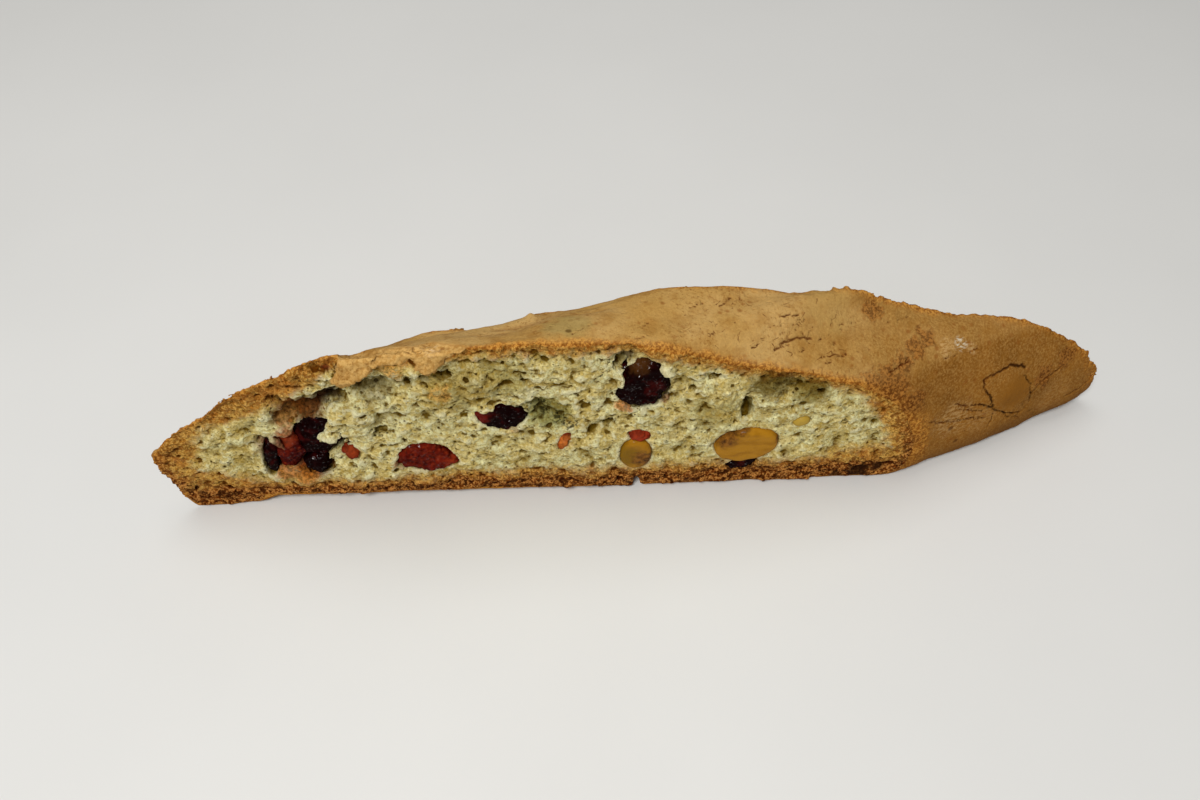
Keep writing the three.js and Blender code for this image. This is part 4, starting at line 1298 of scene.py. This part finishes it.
# %% Painted shade in hollows, and stains
# The cave, its roof and dark back, the recess and under the flap are painted shade; the cave is partly a
# stain.
STAINS = {
    "cave": ((27.6, 2.4, 26.8), 5.6, 3, (112, 60, 20), 0.95),
    "painted_shade_cave_roof": ((29, 2.6, 29.6), 4, 2, (66, 30, 8), 0.9),
    "painted_shade_cave_back": ((32.6, 2.4, 30), 3, 2, (46, 20, 6), 0.9),
    "bed": ((22, 1.6, 16.4), 6, 3, (122, 46, 18), 0.9),
    "bed_low": ((25.4, 1.4, 11.4), 4.6, 3, (108, 36, 14), 0.9),
    "red_left": ((23.2, 1.5, 21), 2.6, 2, (176, 86, 40), 0.8),
    "under_mass": ((24.6, 0.6, 9.8), 3, 3, (150, 62, 10), 0.8),
    "cave_left": ((23.4, 2, 24.4), 3, 2, (168, 112, 54), 0.8),
    "round_left": ((78.9, 0.5, 24.6), 2, 3, (206, 122, 40), 0.8),
    "round_right": ((85.6, 0.5, 26), 1.4, 2, (120, 40, 24), 0.7),
    "middle": ((60.6, 0.3, 19.6), 1.8, 3, (208, 158, 98), 0.5),
    "green": ((66.4, 0.8, 23.6), 4.6, 5, (110, 104, 56), 0.3),
    "orange": ((50.3, 0.2, 30), 2.4, 4, (230, 176, 90), 0.7),
    "scorch": ((120.5, 0.5, 2.2), 2.6, 3, (44, 22, 8), 0.9),
    "scorch_right": ((123.9, 0.4, 3), 1.6, 2, (56, 28, 10), 0.9),
    "scorch_low": ((116.5, 0.5, 1.2), 1.6, 2, (62, 34, 14), 0.9),
    "round_hole": ((79.4, 2.6, 36.2), 2.6, 2, (92, 64, 30), 0.8),
    "shred": ((69, 0.5, 14.8), 1.4, 2, (210, 138, 66), 0.7),
    "bed_foot": ((20.4, 0.4, 9.8), 2.8, 2, (190, 112, 38), 0.85),
    "mass_foot": ((23.6, 0.3, 8.4), 2.8, 2, (196, 124, 48), 0.8),
    "arm": ((31.6, 1.3, 17), 2.2, 1, (26, 3, 4), 0.97),
    "low_red": ((40.6, 0.3, 11), 1.8, 3, (170, 96, 52), 0.7),
    "recess": ((46.8, 1.4, 37), 1.7, 1.5, (120, 52, 22), 0.8),
    "gold": ((44, 0.4, 37.2), 3, 2, (222, 166, 78), 0.85),
    "red_recess": ((34, 0.8, 38), 1.5, 1, (120, 44, 20), 0.85),
    "painted_shade_under_flap": ((39.5, 1.6, 31.8), 4.4, 4, (150, 134, 86), 0.5),
}
# Painted shade, multiplied into hollows.
SHADES = {
    "dent": ((102.6, 0.5, 28.6), 5, 4, (150, 138, 104)),
    "dent_right": ((109, 0.5, 26), 4, 4, (170, 158, 120)),
    "olive_mid": ((52, 0.5, 31), 7, 6, (214, 204, 176)),
    "finger": ((98.9, 2, 21.4), 2.2, 1, (130, 120, 84)),
    "green": ((66.6, 0.8, 23.4), 5.4, 5, (200, 202, 172)),
    "under_dome": ((60, 0.5, 33), 6, 5, (216, 208, 180)),
    "right_low": ((94, 0.5, 22), 6, 6, (222, 214, 190)),
}
for place, radius, ragged, tone in SHADES.values():
    painted_shade_here = baked.near(place, radius, ragged, 1.6)
    crumb_colour = baked.blend(painted_shade_here, crumb_colour, srgb(*tone), "MULTIPLY")
for place, radius, ragged, tone, strength in STAINS.values():
    # Stains darker in the grain's gaps and lighter on its tops, partly painted shade and light.
    in_gaps = srgb(*[0.7 * c for c in tone])
    on_top = srgb(*[min(255, 1.12 * c) for c in tone])
    stained = baked.blend(grains, in_gaps, on_top)
    amount = baked.times(baked.near(place, radius, ragged, 1.1), strength)
    crumb_colour = baked.blend(amount, crumb_colour, stained)
clock(f"{len(SHADES)} dim hollows, {len(STAINS)} stains: {len(baked.tree.nodes)} nodes")

# %% [markdown]
# In the middle of the face the crumb is torn so deep that its gaps lie in shade. That shade is painted:
# black specks of a fine noise that only shows along a chain of places, each with its radius.

# %% Painted shade in dark crevices
CREVICES = (
    ((62.4, 1.2, 25.6), 2.2), ((64.7, 1.6, 25), 2.6), ((66.2, 1.6, 23.6), 2.4), ((68.4, 1.4, 22), 2.4),
    ((70.2, 1, 20), 2),
)
crevice_shade = baked.between(baked.noise(0.95, 4, 0.7, (1.4, 1, 1), shift=19), 0.48, 0.55)
by_crevice = 0.0
for place, radius in CREVICES:
    by_crevice = baked.most(baked.near(place, radius, 2, 1.1), by_crevice)
crevice_shade = baked.times(crevice_shade, by_crevice)
# Painted shade in the crevices.
crumb_colour = baked.tint(crumb_colour, baked.times(crevice_shade, 0.85), 34, 32, 12)
clock(f"crevices: {len(baked.tree.nodes)} nodes")

# %% [markdown]
# Crust and crumb are now joined, and the cracks are drawn on top, darkest round the nut. Between them the
# crust has hairlines: the edges of cells, broken up by a noise and kept to where the real cracks crowd.
# Two bumps finish it, a coarse one for the crumb and a leathery one all over.

# %% Cracks, and the finish put together
colour = baked.blend(is_crumb, crust_colour, crumb_colour)
round_nut = baked.near((146.5, 7.5, 13.5), 9)
crack_colour = baked.blend(round_nut, srgb(84, 36, 4), srgb(50, 26, 6))
hairlines = baked.plus(baked.cells(2.2, (1.7, 1.2, 1), "DISTANCE_TO_EDGE", 33),
                       baked.times(baked.noise(0.5, 3, shift=34), 0.08))
hairlines = baked.times(baked.between(hairlines, 0.048, 0.07, 1, 0),
                        baked.between(baked.noise(1.5, 3, shift=35), 0.54, 0.6))
crowded = baked.most(baked.near((107, 5, 33), 12, 5, 3), baked.near((94, 7, 36), 9, 5, 3))
crowded = baked.most(crowded, baked.near((138, 4, 11), 6, 3, 3))
hairlines = baked.times(hairlines, baked.times(crowded, 0.75))
crack_share = baked.times(baked.between(baked.attribute("crack"), 0.12, 0.75),
                          baked.plus(baked.times(round_nut, 0.1), 0.85))
crack_share = baked.most(crack_share, baked.minus(hairlines, is_crumb, clamp=True))
colour = baked.blend(crack_share, colour, crack_colour)
grit = baked.bump(baked.times(grain, is_crumb), 0.34)
leather = baked.bump(baked.noise(0.7, 4, 0.7, shift=7), 0.17, grit)
baked.shade(Base_Color=colour, Roughness=0.8, Normal=leather, Specular_IOR_Level=0.03)
dough.data.materials.append(baked.material)
clock(f"baked finish: {len(baked.tree.nodes)} nodes")

# %% [markdown]
# Dried cranberries are dark leathery skins, nearly black, with a red flush and wet enough to glint. The
# skin itself is dull: the glint is a thin coat that is strong only in small beads.

# %% Dark cranberries
dark = Finish("dark_cranberry")
flush = dark.between(dark.noise(2.2, 3), 0.5, 0.75)
dark_colour = dark.blend(flush, srgb(16, 1, 1), srgb(56, 8, 6))
dark_colour = dark.tint(dark_colour, dark.near((81, 1, 35.2), 2.8, 2), 70, 40, 14)
dark_colour = dark.tint(dark_colour, dark.near((55.6, 0.5, 23.4), 2.2, 2), 92, 22, 14)
WET = {"Roughness": 0.8, "Specular_IOR_Level": 0.01, "Coat_Roughness": 0.06}


def wet_spots(finish, dry=0.04, wet=0.7):
    """Small beads of juice that glint, with a duller skin between them."""
    return finish.between(finish.noise(0.45, 3, 0.6, shift=31), 0.58, 0.66, dry, wet)


dark_skin = dark.bump(dark.noise(0.5, 3), 0.16)
dark.shade(Base_Color=dark_colour, Normal=dark_skin, Coat_Weight=wet_spots(dark), **WET)
clock(f"dark cranberries: {len(dark.tree.nodes)} nodes")

# %% [markdown]
# Berries that the knife went through are redder, and no two are alike. One finish serves them all,
# because it is tinted by place: each row gives a middle, a radius, how ragged the edge is, the grain of
# that edge, and the colour of the berry there.

# %% Red cranberries
red = Finish("red_cranberry")
blush = red.between(red.noise(1.6, 3), 0.35, 0.65)
red_colour = red.blend(blush, srgb(64, 8, 4), srgb(104, 24, 10))
BERRY_TONES = {
    "cluster": ((23.6, 1, 14), 3.6, 2, 1.5, (56, 6, 8)),
    "cluster_top": ((22.6, 1, 19.6), 2.8, 2, 1.5, (128, 50, 26)),
    "low_tip": ((49.6, 1, 10.4), 3, 2, 1.5, (146, 48, 24)),
    "over_nut": ((81.3, 0.5, 16), 2.6, 2, 0.8, (150, 52, 28)),
    "chip": ((33, 1, 15.3), 2.4, 1, 1.5, (146, 58, 26)),
    "shred": ((69, 1, 15.3), 3, 1, 1.5, (200, 112, 46)),
}
for place, radius, ragged, size, tone in BERRY_TONES.values():
    red_colour = red.tint(red_colour, red.near(place, radius, ragged, size), *tone)
flecks = red.between(red.noise(0.8, 3, 0.6, shift=41), 0.46, 0.7, 0, 0.35)
red_colour = red.tint(red_colour, flecks, 168, 64, 30)
dim = red.between(red.noise(1.1, 3, 0.6, shift=42), 0.46, 0.7, 0, 0.5)
red_colour = red.tint(red_colour, dim, 52, 6, 4)
red_skin = red.bump(red.noise(0.5, 3), 0.12)
red.shade(Base_Color=red_colour, Normal=red_skin, Coat_Weight=wet_spots(red), **WET)
clock(f"red cranberries: {len(red.tree.nodes)} nodes")

# %% [markdown]
# A baked pistachio is golden olive where it is cut, with faint veins along it, and it keeps scraps of its
# papery brown skin at the edges. Those scraps are ragged spots, each with the grain of its edge.

# %% Pistachios
nut = Finish("pistachio")
vein = nut.between(nut.noise(1.6, 3, 0.6, (2, 1, 1)), 0.4, 0.7)
nut_colour = nut.blend(vein, srgb(172, 120, 26), srgb(154, 104, 16))
nut_colour = nut.tint(nut_colour, nut.near((79, 0.5, 10.8), 4.2, 1), 128, 92, 10)
PAPERY = (
    ((95.7, 0.5, 15.1), 3.8, 2), ((82.3, 0.5, 10), 3.2, 2.4), ((98.6, 0.3, 16.9), 2.2, 1.4),
    ((104.9, 0.3, 13.6), 1.2, 1), ((96.6, 0.3, 8.4), 1.7, 1.2), ((109, 15.2, 8.6), 3.2, 2),
    ((115, 15.2, 12.8), 2.4, 2),
)
skin_here = nut.near(*PAPERY[0], 1)
for scrap_of_skin in PAPERY[1:]:
    skin_here = nut.most(skin_here, nut.near(*scrap_of_skin, 1))
papery = nut.blend(nut.between(nut.noise(0.8, 4, 0.7), 0.3, 0.7), srgb(66, 38, 8), srgb(146, 94, 30))
nut_colour = nut.blend(skin_here, nut_colour, papery)
# A painted highlight, lighter gold, near the top of the large nut.
nut_colour = nut.tint(nut_colour, nut.near((108.4, 0.5, 18), 3, 1), 176, 144, 58)
nut_skin = nut.bump(nut.noise(0.5, 3), 0.08)
nut.shade(Base_Color=nut_colour, Roughness=0.6, Specular_IOR_Level=0.03, Normal=nut_skin,
          Coat_Weight=0.12, Coat_Roughness=0.16)
clock(f"pistachios: {len(nut.tree.nodes)} nodes")

# %% [markdown]
# Every berry and nut starts from its plain form, remeshed and smoothed. It is swollen a little, to fill
# its pocket, then folded by a broad noise and wrinkled by a fine creased one. Nuts stay ten times
# smoother.

# %% Fruit and nuts
CRANBERRIES = {
    "cranberry_left_folded": dark, "cranberry_left_red": red, "cranberry_left_sliver": dark,
    "cranberry_left_lump": dark, "cranberry_left_chip": red, "cranberry_low_red": red,
    "cranberry_middle": dark, "cranberry_shred": red, "cranberry_round": dark, "cranberry_over_nut": red,
    "cranberry_under_nut": dark, "cranberry_back_low": red, "cranberry_back_high": dark,
    "cranberry_back_right": dark,
}
NUTS = ("pistachio_middle", "pistachio_right", "pistachio_chip", "pistachio_back", "pistachio_back_chip")
FRUIT_SKIN = 0.2
SWELL, SWELL_OF_WRINKLED = 0.28, 0.07
FOLD, WRINKLE = 1.2, 0.75


def fruit(node, finish, wrinkle):
    """One berry or nut in its finish, with wrinkles from 0 to 1."""
    piece = copy_of(node, node + "_skin")
    apply(piece, "REMESH", mode="VOXEL", voxel_size=FRUIT_SKIN * MM)
    apply(piece, "SMOOTH", factor=0.5, iterations=8 if finish is nut else 14)
    apply(piece, "DISPLACE", strength=(SWELL + SWELL_OF_WRINKLED * wrinkle) * MM, mid_level=0)
    apply(piece, "DISPLACE", texture=cloud(node + "_folds", 3, 1), texture_coords="LOCAL",
          strength=FOLD * wrinkle * MM, mid_level=0.5)
    apply(piece, "DISPLACE", texture=cloud(node + "_wrinkles", 1.3, 1, hard=True), texture_coords="LOCAL",
          strength=WRINKLE * wrinkle * MM, mid_level=0.35)
    for polygon in piece.data.polygons:
        polygon.use_smooth = True
    piece.data.materials.append(finish.material)
    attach(piece, "root")
    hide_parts(node)


for node, finish in CRANBERRIES.items():
    fruit(node, finish, wrinkle=1)
for node in NUTS:
    fruit(node, nut, wrinkle=0.1)
clock(f"{len(CRANBERRIES)} berries and {len(NUTS)} nuts")

# %% [markdown]
# The dressed slice is meant to keep the size of the plain one, apart from crumbs that stand a little
# proud. Its box is printed.

# %% Size of the finished slice
dressed_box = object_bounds()
low_end, high_end = ([round(v / MM, 1) for v in corner] for corner in dressed_box)
clock(f"dressed from {low_end} to {high_end} mm")
